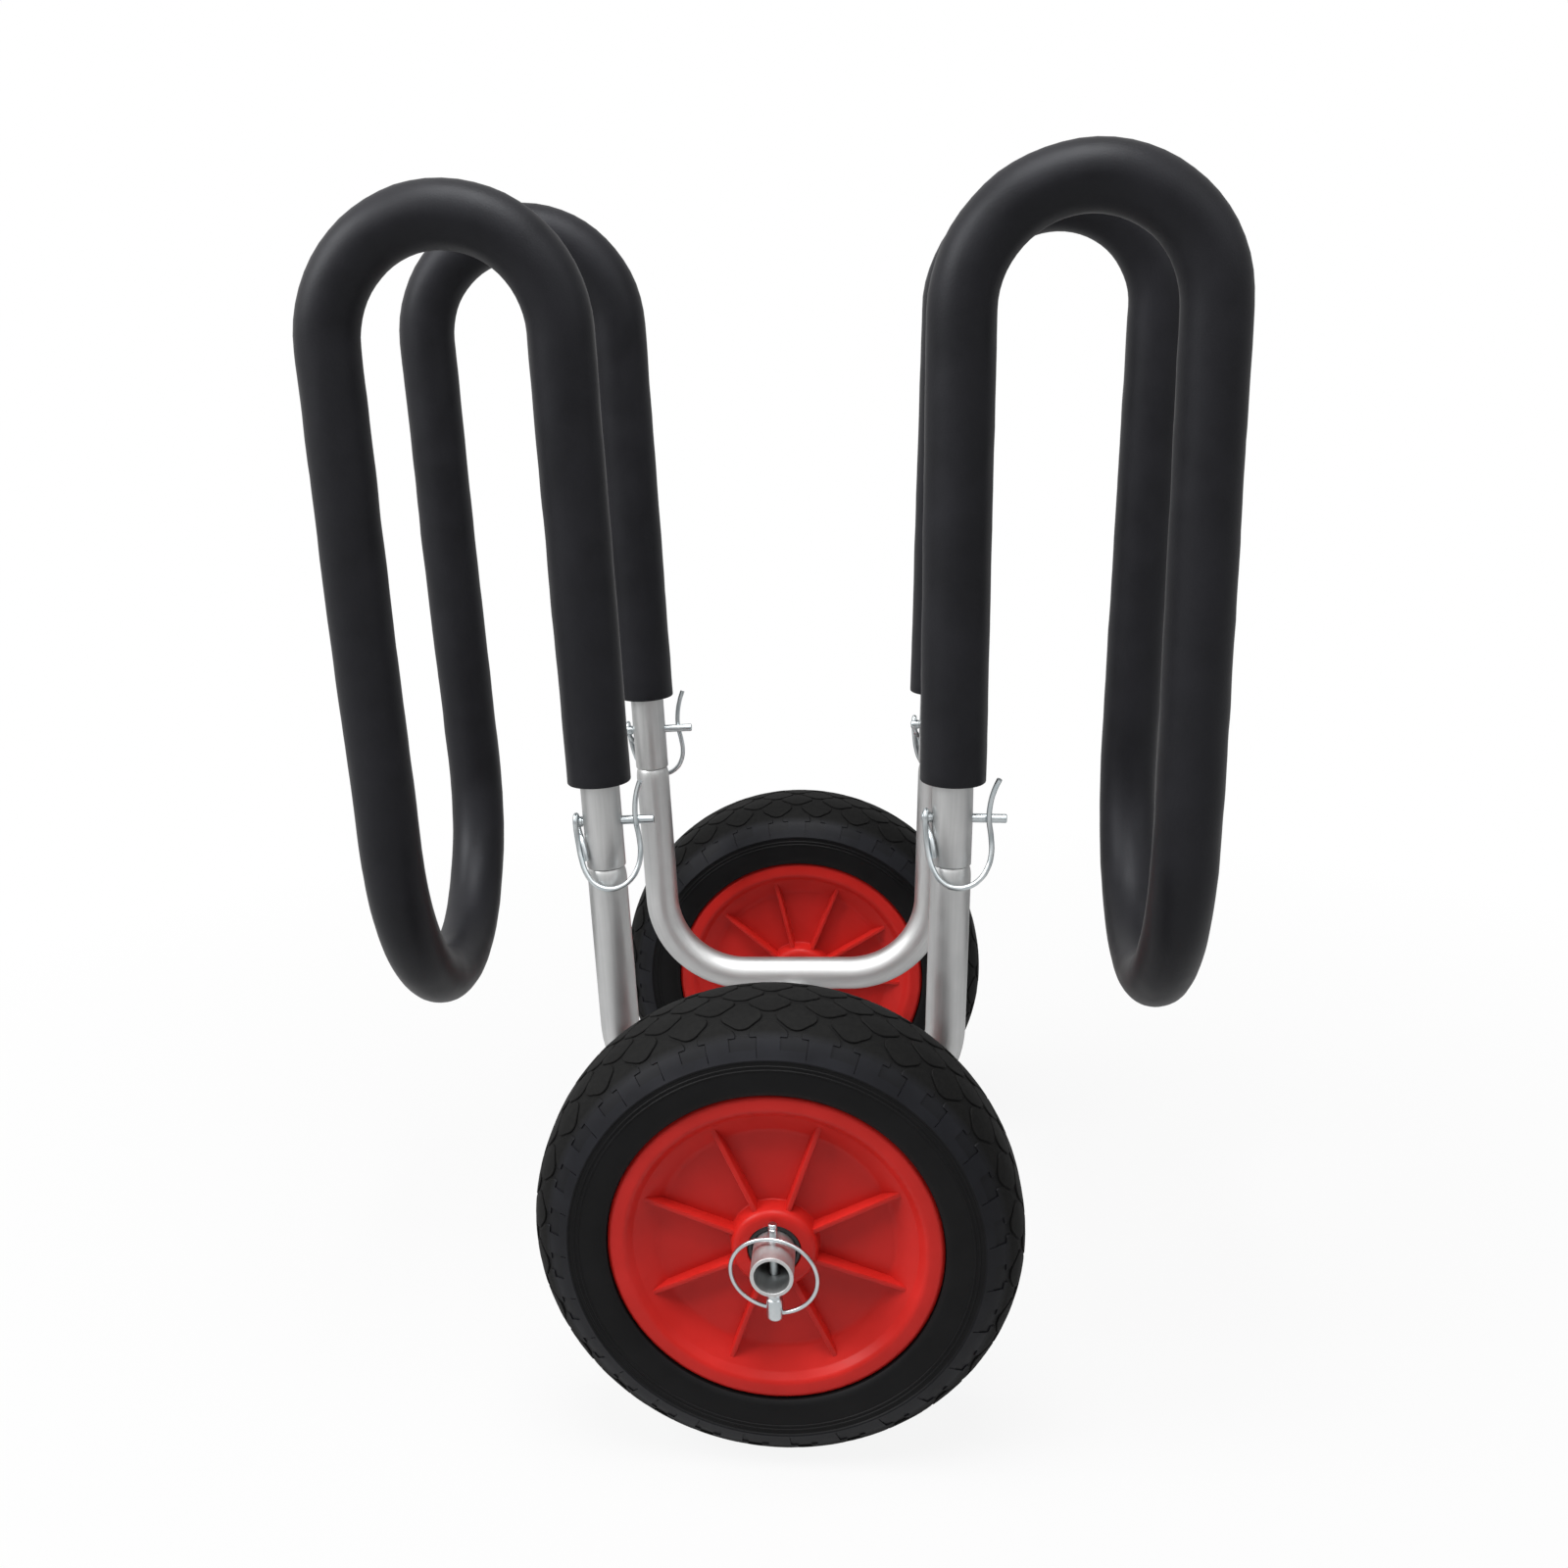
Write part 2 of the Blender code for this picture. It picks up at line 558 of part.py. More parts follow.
def clip_wire_route(outward):
    """Points of a clip's wire, from its tail through the head and round the leg to its free end.

    Along the pin and outward from the frame, then up the leg. It starts beside the
    leg, passes up the head's hole, turns down over the pin's end, crosses the leg's
    outer side and comes up past the pin's tip with its end flared.
    """
    leg = TUBE_RADIUS
    wire = CLIP_WIRE_DIAMETER / 2
    head = CLIP_HEAD_DIAMETER / 2
    hinge = -CLIP_HINGE
    eye = head + wire + GAP
    front = leg + wire + 2 * GAP
    cross = CLIP_SHAFT_DIAMETER / 2 + wire + GAP
    tip = leg + CLIP_WIRE_CROSSING
    drop = CLIP_BOW_DROP
    rise = CLIP_END_RISE
    flare = CLIP_END_FLARE
    route = [
        (hinge + 0.39 * flare, 0.93 * flare, -0.42 * drop),
        (hinge + 0.13 * flare, 0.30 * flare, -0.285 * drop),
        (hinge, 0.0, -0.15 * drop),
        (hinge, 0.0, 0.0),
        (hinge, 0.0, 0.81 * eye),
        (hinge - 0.36 * eye, 0.0, 1.23 * eye),
        (hinge - 0.82 * eye, 0.0, 0.96 * eye),
        (hinge - eye, 0.0, 0.40 * eye),
        (hinge - eye, 0.0, -0.10 * drop),
        (hinge - 0.58 * eye, 0.22 * flare, -0.30 * drop),
        (hinge - 0.04 * flare, 0.98 * flare, -0.53 * drop),
        (-0.90 * leg, 0.74 * front, -0.78 * drop),
        (-0.40 * leg, front + 0.09 * flare, -0.935 * drop),
        (0.36 * leg, front + 0.20 * flare, -drop),
        (1.17 * leg, 0.93 * front, -0.915 * drop),
        (tip, 0.72 * front, -0.72 * drop),
        (tip + 0.52 * flare, 0.55 * front, -0.495 * drop),
        (tip + 0.26 * flare, cross + 0.17 * flare, -0.225 * drop),
        (tip, cross, 0.0),
        (tip + 0.09 * flare, cross + 0.11 * flare, 0.42 * rise),
        (tip + 0.48 * flare, cross + 0.39 * flare, 0.77 * rise),
        (tip + flare, cross + 0.70 * flare, rise),
    ]
    return [Vector((along, outward * out, up)) for along, out, up in route]


def make_clip(end, sign, side_name, side):
    """A clip pin through a leg, head to the left, and the wire that snaps over its tip."""
    where = f"{end}_{side_name}"
    seat = (side * LEG_SPACING / 2, sign * FRAME_SPACING / 2, PIN_HEIGHT)
    base = add_empty(f"clip_{where}", seat, (0.0, side * LEG_SPLAY, 0.0))
    shaft = CLIP_SHAFT_DIAMETER / 2
    head = CLIP_HEAD_DIAMETER / 2
    tip = TUBE_RADIUS + CLIP_TIP_REACH
    outline = []
    for angle in (math.radians(65), math.radians(35), 0.0):
        outline.append((head * math.cos(angle), -CLIP_HINGE - head * math.sin(angle)))
    outline += [
        (head, -TUBE_RADIUS - GAP),
        (shaft, -TUBE_RADIUS - GAP),
        (shaft, tip - CLIP_TIP_CHAMFER),
        (shaft - CLIP_TIP_CHAMFER, tip),
    ]
    name = f"clip_pin_{where}"
    shape = turned(outline, PIN_SIDES, "X", closed=False)
    pin = add_object(name, shape, zinc_plate(name), base)
    hole = CLIP_WIRE_DIAMETER / 2 + GAP
    drill = cylinder(hole, (-CLIP_HINGE, 0.0, -2 * head), (-CLIP_HINGE, 0.0, 2 * head), HOLE_SIDES)
    combine(pin, add_object("wire_hole", drill, None, base))
    route = clip_wire_route(sign)
    stations = []
    for index, point in enumerate(route):
        before = route[max(index - 1, 0)]
        after = route[min(index + 1, len(route) - 1)]
        place = point + Vector((CLIP_HINGE, 0.0, 0.0))
        stations.append((place, after - before, CLIP_WIRE_DIAMETER / 2))
    name = f"clip_wire_{where}"
    wire = swept(stations, WIRE_SIDES)
    add_object(name, wire, zinc_plate(name), base, (-CLIP_HINGE, 0.0, 0.0), 80)


def main():
    for leftover in list(bpy.data.objects):
        bpy.data.objects.remove(leftover)
    make_axle()
    for end, sign in NEAR_FAR.items():
        make_frame(end, sign)
        make_weld(end, sign)
        make_wheel(end, sign)
        make_lynch_pin(end, sign)
    for side_name, side in LEFT_RIGHT.items():
        make_arm(side_name, side)
        for end, sign in NEAR_FAR.items():
            make_clip(end, sign, side_name, side)


main()
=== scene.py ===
# %% [markdown]
# # A paddleboard cart
# Two saddle arms in black foam sleeves are pinned on two bent aluminium frames, which stand
# on one axle with two red-rimmed wheels. The board's rail rests in the bottoms of the loops.
# The frame that is loaded first holds every piece at its real size, so each new piece below
# is built where the frame says. X is the rolling direction, Y the axle and Z up, in metres.

# %% Load the frame
import math

import bpy
import numpy as np
from mathutils import Matrix, Vector


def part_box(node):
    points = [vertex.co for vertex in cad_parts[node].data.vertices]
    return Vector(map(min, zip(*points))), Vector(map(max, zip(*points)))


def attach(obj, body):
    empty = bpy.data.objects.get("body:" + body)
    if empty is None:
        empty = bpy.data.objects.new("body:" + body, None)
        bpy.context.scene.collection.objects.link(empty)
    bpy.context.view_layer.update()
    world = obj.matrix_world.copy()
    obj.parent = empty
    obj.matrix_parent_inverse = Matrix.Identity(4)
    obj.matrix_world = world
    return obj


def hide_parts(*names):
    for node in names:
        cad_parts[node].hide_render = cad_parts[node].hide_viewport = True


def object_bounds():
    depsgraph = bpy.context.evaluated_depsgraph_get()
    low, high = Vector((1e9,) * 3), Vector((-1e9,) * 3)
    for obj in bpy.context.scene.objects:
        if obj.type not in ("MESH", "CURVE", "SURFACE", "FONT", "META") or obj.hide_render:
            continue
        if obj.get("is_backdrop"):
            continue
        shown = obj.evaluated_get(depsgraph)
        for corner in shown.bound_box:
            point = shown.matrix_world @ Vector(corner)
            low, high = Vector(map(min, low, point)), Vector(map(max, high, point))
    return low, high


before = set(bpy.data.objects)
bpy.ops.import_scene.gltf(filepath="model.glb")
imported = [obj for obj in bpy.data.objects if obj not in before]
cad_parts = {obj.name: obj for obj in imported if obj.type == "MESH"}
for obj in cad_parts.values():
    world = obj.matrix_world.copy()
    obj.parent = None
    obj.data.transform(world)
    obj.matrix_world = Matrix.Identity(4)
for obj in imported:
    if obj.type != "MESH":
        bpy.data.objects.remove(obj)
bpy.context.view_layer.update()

# %% [markdown]
# ## The camera
# The photograph was taken from in front of the near wheel, a little above the cart, looking
# down by fifteen degrees. The picture is a part of a wider one, so the camera's axis meets
# it left of its middle, which a lens shift reproduces.

# %% Camera
IMAGE_WIDTH = 1600
SENSOR_WIDTH = 36.0
CAMERA_PLACE = Vector((0.0522, -1.0292, 0.5994))
CAMERA_PAN = -0.14452
CAMERA_TILT = 0.26217
CAMERA_ROLL = -0.04989
FOCAL_PIXELS = 1763.4
AXIS_PIXEL = 640

forward = Vector((
    math.sin(CAMERA_PAN) * math.cos(CAMERA_TILT),
    math.cos(CAMERA_PAN) * math.cos(CAMERA_TILT),
    -math.sin(CAMERA_TILT),
))
level = Vector((math.cos(CAMERA_PAN), -math.sin(CAMERA_PAN), 0.0))
upright = level.cross(forward)
right = level * math.cos(CAMERA_ROLL) + upright * math.sin(CAMERA_ROLL)
above = upright * math.cos(CAMERA_ROLL) - level * math.sin(CAMERA_ROLL)
facing = Matrix((right, above, -forward)).transposed()

bpy.ops.object.camera_add()
camera = bpy.context.object
camera.name = "camera"
camera.matrix_world = Matrix.Translation(CAMERA_PLACE) @ facing.to_4x4()
camera.data.sensor_width = SENSOR_WIDTH
camera.data.lens = FOCAL_PIXELS / IMAGE_WIDTH * SENSOR_WIDTH
camera.data.shift_x = 0.5 - AXIS_PIXEL / IMAGE_WIDTH
camera.data.clip_start = 0.05
bpy.context.scene.camera = camera
print("camera lens, mm:", round(camera.data.lens, 2))

# %% [markdown]
# ## Measures of the cart
# The driving sizes are written once, and what depends on them is worked out. The tube, the
# wheels and the four clip pins set nearly everything: a leg's pin is the point from which
# heights along that leg are counted, because the arms lean outward with the legs.

# %% Sizes
TUBE_RADIUS = 0.0111
TUBE_WALL = 0.0015
TUBE_SIDES = 40
GAP = 0.0003
AXLE_HALF = 0.2518
WHEEL_Y = 0.191
FRAME_Y = 0.110
PIN_X = 0.0965
PIN_HEIGHT = 0.329
LEG_SPLAY = math.radians(1.8)

axle_low, axle_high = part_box("axle_tube")
AXLE_Z = (axle_low.z + axle_high.z) / 2
BAR_Z = AXLE_Z + 2 * TUBE_RADIUS + GAP
NEAR_FAR = {"near": -1, "far": 1}
LEFT_RIGHT = {"left": -1, "right": 1}
AXES = {"X": Vector((1, 0, 0)), "Y": Vector((0, 1, 0)), "Z": Vector((0, 0, 1))}
print("axle height, mm:", round(AXLE_Z * 1000, 2))

# %% [markdown]
# ## Two ways to make round things
# Nearly every piece here is round. A wheel or a pin is turned: a circle of edges is extruded
# from point to point of an outline, as a lathe tool would run along it. A tube is drawn: the
# circle is extruded along straight runs and spun round the centre of each bend. Cylinders
# stuck together would be quicker, but a skin that grows from one open circle is a single
# clean mesh of quads, which takes walls, rounded edges and holes well.

# %% Helpers for selecting and editing
def select_only(piece):
    """Make one object the only one that an operator works on."""
    bpy.ops.object.select_all(action="DESELECT")
    piece.select_set(True)
    bpy.context.view_layer.objects.active = piece


def edit_all(piece):
    """Open a piece in edit mode with all of it selected."""
    select_only(piece)
    bpy.ops.object.mode_set(mode="EDIT")
    bpy.ops.mesh.select_all(action="SELECT")


def settle(piece):
    """Put a piece's place and turn into its mesh, so that its origin is the cart's."""
    select_only(piece)
    bpy.ops.object.transform_apply(location=True, rotation=True, scale=True)
    return piece


def outside_out(piece):
    """Turn every face outwards and go back to object mode."""
    bpy.ops.mesh.select_all(action="SELECT")
    bpy.ops.mesh.normals_make_consistent(inside=False)
    bpy.ops.object.mode_set(mode="OBJECT")
    return piece


# %% Helpers for shading and modifiers
def smooth(piece, angle=35):
    """Shade a piece smooth except across edges sharper than the angle."""
    select_only(piece)
    bpy.ops.object.shade_smooth_by_angle(angle=math.radians(angle))
    return piece


def apply_modifier(piece, kind, **settings):
    """Add a modifier, set it and apply it to the mesh."""
    select_only(piece)
    modifier = piece.modifiers.new(kind.title(), kind)
    for setting, value in settings.items():
        setattr(modifier, setting, value)
    bpy.ops.object.modifier_apply(modifier=modifier.name)


def add_wall(piece, wall):
    """Give a skin a wall on its inner side."""
    apply_modifier(piece, "SOLIDIFY", thickness=wall, offset=-1.0)


def soften(piece, width, segments=2):
    """Round the edges that are sharper than sixty degrees."""
    settings = {"limit_method": "ANGLE", "angle_limit": math.radians(60)}
    apply_modifier(piece, "BEVEL", width=width, segments=segments, **settings)


# %% Helpers for drawn pieces
RING_TURNS = {"X": (0, math.pi / 2, 0), "Y": (math.pi / 2, 0, 0), "Z": (0, 0, 0)}


def add_ring(name, radius, place, axis, sides, lean=0.0):
    """Add an open circle round an axis and leave it selected in edit mode."""
    bpy.ops.object.select_all(action="DESELECT")
    x, y, z = RING_TURNS[axis]
    settings = {"location": place, "rotation": (x, y + lean, z)}
    bpy.ops.mesh.primitive_circle_add(vertices=sides, radius=radius, **settings)
    piece = bpy.context.object
    piece.name = piece.data.name = name
    edit_all(settle(piece))
    return piece


def run(move, steps=1):
    """Extrude the ring that is selected along a straight run."""
    for _ in range(steps):
        bpy.ops.mesh.extrude_region_move(TRANSFORM_OT_translate={"value": Vector(move) / steps})


def bend(centre, axis, angle, steps):
    """Spin the ring that is selected round a bend, right-handed about the axis."""
    bpy.ops.mesh.spin(steps=steps, angle=-angle, center=centre, axis=axis)


def widen(share, centre):
    """Scale the ring that is selected about its centre."""
    bpy.ops.transform.resize(value=(share, share, share), center_override=centre)


# %% Helpers for turned pieces
def select_open_edges():
    """Select the edges at which a skin ends."""
    bpy.ops.mesh.select_mode(type="EDGE")
    bpy.ops.mesh.select_all(action="DESELECT")
    bpy.ops.mesh.select_non_manifold()


def turned(name, outline, centre, axis, sides, closed=True):
    """Turn an outline of (radius, distance along the axis) points.

    A closed outline makes a ring, and an open one a solid bar with flat ends.
    """
    along = AXES[axis]
    radius, distance = outline[0]
    piece = add_ring(name, radius, Vector(centre) + along * distance, axis, sides)
    for next_radius, next_distance in outline[1:]:
        run(along * (next_distance - distance))
        widen(next_radius / radius, Vector(centre) + along * next_distance)
        radius, distance = next_radius, next_distance
    if closed:
        select_open_edges()
        bpy.ops.mesh.bridge_edge_loops()
    else:
        bpy.ops.mesh.edge_face_add()
        select_open_edges()
        bpy.ops.mesh.edge_face_add()
    bpy.ops.mesh.select_mode(type="VERT")
    return outside_out(piece)


# %% Helpers for rounded outlines and sleeves
def rounded(corners, steps=5):
    """Replace each (x, y, rounding) corner of an outline by an arc."""
    outline = []
    for index, (x, y, radius) in enumerate(corners):
        corner = Vector((x, y))
        if not radius:
            outline.append((x, y))
            continue
        back = (Vector(corners[index - 1][:2]) - corner).normalized()
        ahead = (Vector(corners[(index + 1) % len(corners)][:2]) - corner).normalized()
        half = back.angle(ahead) / 2
        centre = corner + (back + ahead).normalized() * (radius / math.sin(half))
        start = corner + back * (radius / math.tan(half)) - centre
        end = corner + ahead * (radius / math.tan(half)) - centre
        sweep = start.angle(end)
        for step in range(steps + 1):
            share = step / steps
            spoke = start * math.sin((1 - share) * sweep) + end * math.sin(share * sweep)
            outline.append(tuple(centre + spoke / math.sin(sweep)))
    return outline


def sleeve(name, inner, outer, ends, edge, sides):
    """Turn a straight sleeve on the axle's line, with all its edges rounded."""
    low, high = ends
    corners = [(inner, low, edge), (outer, low, edge), (outer, high, edge), (inner, high, edge)]
    return turned(name, rounded(corners, 3), (0, 0, AXLE_Z), "Y", sides)


# %% [markdown]
# ## Finishes
# Six finishes cover the cart: satin aluminium, bright zinc plate, black foam, black tyre
# rubber, red moulded plastic and black nylon. A picture of each surface would need unwrapped
# pieces and would blur close up. So each finish starts from a Principled shader, and noise
# at the real scale of the surface varies its colour, its gloss and its bumps. Object
# coordinates are enough, because every finished piece has its origin at the cart's origin.

# %% Helpers for nodes
def feed(material, node, inputs):
    """Link a node's inputs to other nodes' sockets, or fill them with plain values."""
    for socket, value in inputs.items():
        if isinstance(value, bpy.types.NodeSocket):
            material.node_tree.links.new(value, node.inputs[socket])
        else:
            node.inputs[socket].default_value = value


def new_finish(name, metallic=0.0, specular=0.5):
    """Start a material, and return it with its shader."""
    material = bpy.data.materials.new(name)
    material.use_nodes = True
    shader = material.node_tree.nodes["Principled BSDF"]
    feed(material, shader, {"Metallic": metallic, "Specular IOR Level": specular})
    print("finish:", name)
    return material, shader


def add_node(material, kind, inputs=None, **settings):
    """Add a node, set it and feed its inputs."""
    node = material.node_tree.nodes.new(kind)
    for setting, value in settings.items():
        setattr(node, setting, value)
    feed(material, node, inputs or {})
    return node


def calculate(material, operation, first, second):
    """Work out one number from two."""
    return add_node(material, "ShaderNodeMath", {0: first, 1: second}, operation=operation).outputs[0]


# %% Helpers for patterns
def here(material):
    """The place on the piece, in the cart's own metres."""
    return add_node(material, "ShaderNodeTexCoord").outputs["Object"]


def noise(material, size, place, detail):
    """Noise whose blotches are about this wide, in metres."""
    inputs = {"Vector": place, "Scale": 1 / size, "Detail": detail}
    return add_node(material, "ShaderNodeTexNoise", inputs).outputs["Fac"]


def between(material, share, low, high, start=0.3, stop=0.7):
    """Run a value from low to high while the share goes from start to stop."""
    inputs = {"Value": share, "From Min": start, "From Max": stop, "To Min": low, "To Max": high}
    return add_node(material, "ShaderNodeMapRange", inputs).outputs["Result"]


def mix_colours(material, share, first, second):
    """Blend two colours, each of them a socket or three numbers, by a share."""
    colours = [one if isinstance(one, bpy.types.NodeSocket) else (*one, 1.0) for one in (first, second)]
    inputs = {"Factor": share, 6: colours[0], 7: colours[1]}
    return add_node(material, "ShaderNodeMix", inputs, data_type="RGBA").outputs[2]


def mottled(material, share, low, high):
    """A colour that runs from low to high with noise."""
    return mix_colours(material, between(material, share, 0.0, 1.0), low, high)


def paint(material, shader, colour, roughness):
    """Give the shader its colour and its roughness."""
    feed(material, shader, {"Base Color": colour, "Roughness": roughness})


def bumps(material, shader, height, depth, strength=1.0):
    """Raise the surface by a height pattern, with depth in metres."""
    inputs = {"Height": height, "Distance": depth, "Strength": strength}
    node = add_node(material, "ShaderNodeBump", inputs)
    feed(material, shader, {"Normal": node.outputs["Normal"]})


# %% [markdown]
# ### Satin aluminium
# Drawn tube has faint streaks along its length. On a bent tube the streaks follow the bend,
# so each tube carries an attribute named grain, worked out from its route: two numbers across
# the tube and one, pressed small, along it. Noise on that attribute comes out as streaks.

# %% Grain along a tube
def add_grain(piece, route):
    """Store where each vertex lies across and along a route of points."""
    points = np.array([tuple(vertex.co) for vertex in piece.data.vertices])
    stations = np.array([tuple(point) for point in route])
    steps = np.diff(stations, axis=0)
    lengths = np.linalg.norm(steps, axis=1)
    best = np.full(len(points), np.inf)
    grain = np.zeros((len(points), 3))
    travelled = 0.0
    for start, step, length in zip(stations, steps, lengths):
        share = np.clip((points - start) @ step / length**2, 0.0, 1.0)
        offset = points - start - share[:, None] * step
        distance = np.linalg.norm(offset, axis=1)
        nearer = distance < best
        best[nearer] = distance[nearer]
        along = Vector(step).normalized()
        side = along.cross(AXES["Y"] if abs(step[1]) < 0.9 * length else AXES["Z"])
        grain[nearer, 0] = (offset @ np.array(side))[nearer]
        grain[nearer, 1] = (offset @ np.array(along.cross(side)))[nearer]
        grain[nearer, 2] = (travelled + share * length)[nearer]
        travelled += length
    attribute = piece.data.attributes.new("grain", "FLOAT_VECTOR", "POINT")
    attribute.data.foreach_set("vector", grain.astype(np.float32).ravel())


# %% Aluminium
STREAK_WIDTH = 0.0016
STREAK_LENGTH = 0.035


def satin_aluminium():
    material, shader = new_finish("satin_aluminium", metallic=1.0)
    grain = add_node(material, "ShaderNodeAttribute", attribute_name="grain").outputs["Vector"]
    stretch = {"Vector": grain, "Scale": (1.0, 1.0, STREAK_WIDTH / STREAK_LENGTH)}
    drawn = add_node(material, "ShaderNodeMapping", stretch).outputs["Vector"]
    streaks = noise(material, STREAK_WIDTH, drawn, 4.0)
    clouds = noise(material, 0.022, here(material), 3.0)
    pale = mottled(material, streaks, (0.50, 0.505, 0.50), (0.57, 0.57, 0.57))
    dull = mix_colours(material, between(material, clouds, 0.0, 0.4), pale, (0.44, 0.445, 0.45))
    paint(material, shader, dull, between(material, clouds, 0.44, 0.54))
    bumps(material, shader, streaks, 0.000006)
    return material


aluminium = satin_aluminium()

# %% [markdown]
# ### Zinc plate
# The pins, their rings and the clip wires are plated steel: glossier and bluer than the
# tubes, with no grain, and a little cloudy where the plating is thicker.

# %% Zinc plate
def zinc_plate():
    material, shader = new_finish("zinc_plate", metallic=1.0)
    clouds = noise(material, 0.009, here(material), 2.0)
    tint = mottled(material, clouds, (0.46, 0.51, 0.53), (0.58, 0.61, 0.62))
    paint(material, shader, tint, between(material, clouds, 0.27, 0.34))
    return material


zinc = zinc_plate()

# %% [markdown]
# ### Black foam
# The foam has a closed skin: dull black with a soft sheen and fine pores. The pores are too
# small and too many to model, so they are bumps, while the waves in the sleeve are geometry.

# %% Black foam
def black_foam():
    material, shader = new_finish("black_foam", specular=0.17)
    feed(material, shader, {"Specular Tint": (0.92, 0.95, 1.0, 1.0)})
    feed(material, shader, {"Sheen Weight": 0.03, "Sheen Roughness": 0.3})
    place = here(material)
    clouds = noise(material, 0.030, place, 4.0)
    pores = noise(material, 0.0011, place, 2.0)
    shade = mottled(material, clouds, (0.0082, 0.0081, 0.0096), (0.0122, 0.0120, 0.0144))
    paint(material, shader, shade, between(material, clouds, 0.42, 0.52))
    bumps(material, shader, pores, 0.00012, 0.6)
    return material


foam = black_foam()

# %% [markdown]
# ### Tyre rubber
# The tyre is one moulding with three blacks: a smooth dark sidewall, a bluish band round the
# shoulder and a dusty tread. Three materials would leave hard seams between them, so in this
# one the distance from the axle fades each black into the next. An attribute named sunk,
# which is written when the tread is modelled, holds how deep each point lies in a groove, and
# the grooves are darkened by it with painted shade.

# %% Tyre rubber
TREAD_EDGE_RADIUS = 0.1083
TREAD_EDGE_FADE = 0.0006
DUSTY_RADIUS = 0.1195
DUSTY_FADE = 0.002


def fade_in(material, reach, radius, fade):
    """Zero inside a radius, one outside it and a soft step between."""
    return between(material, reach, 0.0, 1.0, radius - fade, radius + fade)


def tyre_rubber():
    material, shader = new_finish("tyre_rubber", specular=0.12)
    place = here(material)
    flatten = {"Vector": place, "Location": (0, 0, -AXLE_Z), "Scale": (1, 0, 1)}
    spoke = add_node(material, "ShaderNodeMapping", flatten).outputs["Vector"]
    reach = add_node(material, "ShaderNodeVectorMath", {0: spoke}, operation="LENGTH").outputs["Value"]
    on_band = fade_in(material, reach, TREAD_EDGE_RADIUS, TREAD_EDGE_FADE)
    on_tread = fade_in(material, reach, DUSTY_RADIUS, DUSTY_FADE)
    clouds = noise(material, 0.018, place, 5.0)
    dust = noise(material, 0.0022, place, 4.0)
    sidewall = mottled(material, clouds, (0.0034, 0.0034, 0.0037), (0.0052, 0.0052, 0.0056))
    band = mottled(material, clouds, (0.0062, 0.0064, 0.0082), (0.0104, 0.0108, 0.0136))
    tread = mottled(material, dust, (0.0022, 0.0022, 0.0022), (0.0050, 0.0049, 0.0047))
    shade = mix_colours(material, on_band, sidewall, mix_colours(material, on_tread, band, tread))
    sunk = add_node(material, "ShaderNodeAttribute", attribute_name="sunk").outputs["Fac"]
    # Painted shade: the deeper a point lies in a groove, the nearer its colour goes to near black.
    shadow = between(material, sunk, 0.0, 0.45, 0.0, 1.0)
    shade = mix_colours(material, shadow, shade, (0.003, 0.003, 0.003))
    paint(material, shader, shade, between(material, on_tread, 0.48, 0.72, 0.0, 1.0))
    bumps(material, shader, dust, 0.00006, 0.6)
    return material


rubber = tyre_rubber()

# %% [markdown]
# ### Red plastic and black nylon
# The rims are moulded in red plastic with a soft gloss and a faint orange peel. The bushes
# in their hubs are black nylon, which is duller and slightly gritty.

# %% Red plastic and black nylon
def red_plastic():
    material, shader = new_finish("red_plastic", specular=0.18)
    place = here(material)
    clouds = noise(material, 0.025, place, 3.0)
    peel = noise(material, 0.0016, place, 2.0)
    tint = mottled(material, clouds, (0.49, 0.014, 0.010), (0.55, 0.018, 0.014))
    paint(material, shader, tint, between(material, clouds, 0.34, 0.44))
    bumps(material, shader, peel, 0.00002, 0.5)
    return material


def black_nylon():
    material, shader = new_finish("black_nylon")
    grit = noise(material, 0.0008, here(material), 3.0)
    shade = mottled(material, grit, (0.008, 0.008, 0.009), (0.017, 0.017, 0.018))
    paint(material, shader, shade, between(material, grit, 0.38, 0.52))
    bumps(material, shader, grit, 0.00003)
    return material


plastic = red_plastic()
nylon = black_nylon()

# %% [markdown]
# ### Dressing a piece
# A finished piece gets one finish. It also rides on a body of the frame, so that it moves
# with the right joint, and stands for one of the frame's plain pieces, which it covers.

# %% Dressing a piece
def dress(piece, material, node, body):
    """Give a piece its finish, its body and the frame's node that it stands for."""
    piece.data.materials.clear()
    piece.data.materials.append(material)
    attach(piece, body)
    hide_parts(node)
    print(piece.name, "faces:", len(piece.data.polygons))


# %% [markdown]
# ## Bent frames
# Each frame is one length of tube: down a leg, round a bend, flat over the axle and up the
# other leg. The leg's end is necked down to slide into the arm, so a bright rounded shoulder
# shows just under the arm's end. A curve with a round bevel could draw the tube, but the
# shoulder is easier to shape ring by ring. So a circle starts at the top of the left leg, is
# drawn along the whole route and scaled at the necks, and Solidify gives the tube its wall.

# %% Holes
DRILL_SIDES = 24


def combine(piece, tool, operation):
    """Join or cut a piece with a closed tool, and remove the tool."""
    apply_modifier(piece, "BOOLEAN", operation=operation, solver="MANIFOLD", object=tool)
    bpy.data.objects.remove(tool)


def drill(piece, centre, direction, radius, reach):
    """Cut a round hole through a piece."""
    outline = [(radius, -reach), (radius, reach)]
    tool = turned("drill", outline, (0, 0, 0), "Z", DRILL_SIDES, closed=False)
    turn = Vector(direction).to_track_quat("Z", "Y").to_matrix().to_4x4()
    tool.matrix_world = Matrix.Translation(centre) @ turn
    combine(piece, settle(tool), "DIFFERENCE")


# %% A leg, from its neck to its straight
ARM_END = -0.026
SHOULDER_LENGTH = 0.0078
SHOULDER_STEPS = 10
NECK_RADIUS = 0.0093
NECK_TOP = 0.034


def leg_point(side, y, height):
    """A point on a leg's axis, at a height along the leg from its clip pin."""
    lean = side * math.sin(LEG_SPLAY)
    return Vector((side * PIN_X + lean * height, y, PIN_HEIGHT + math.cos(LEG_SPLAY) * height))


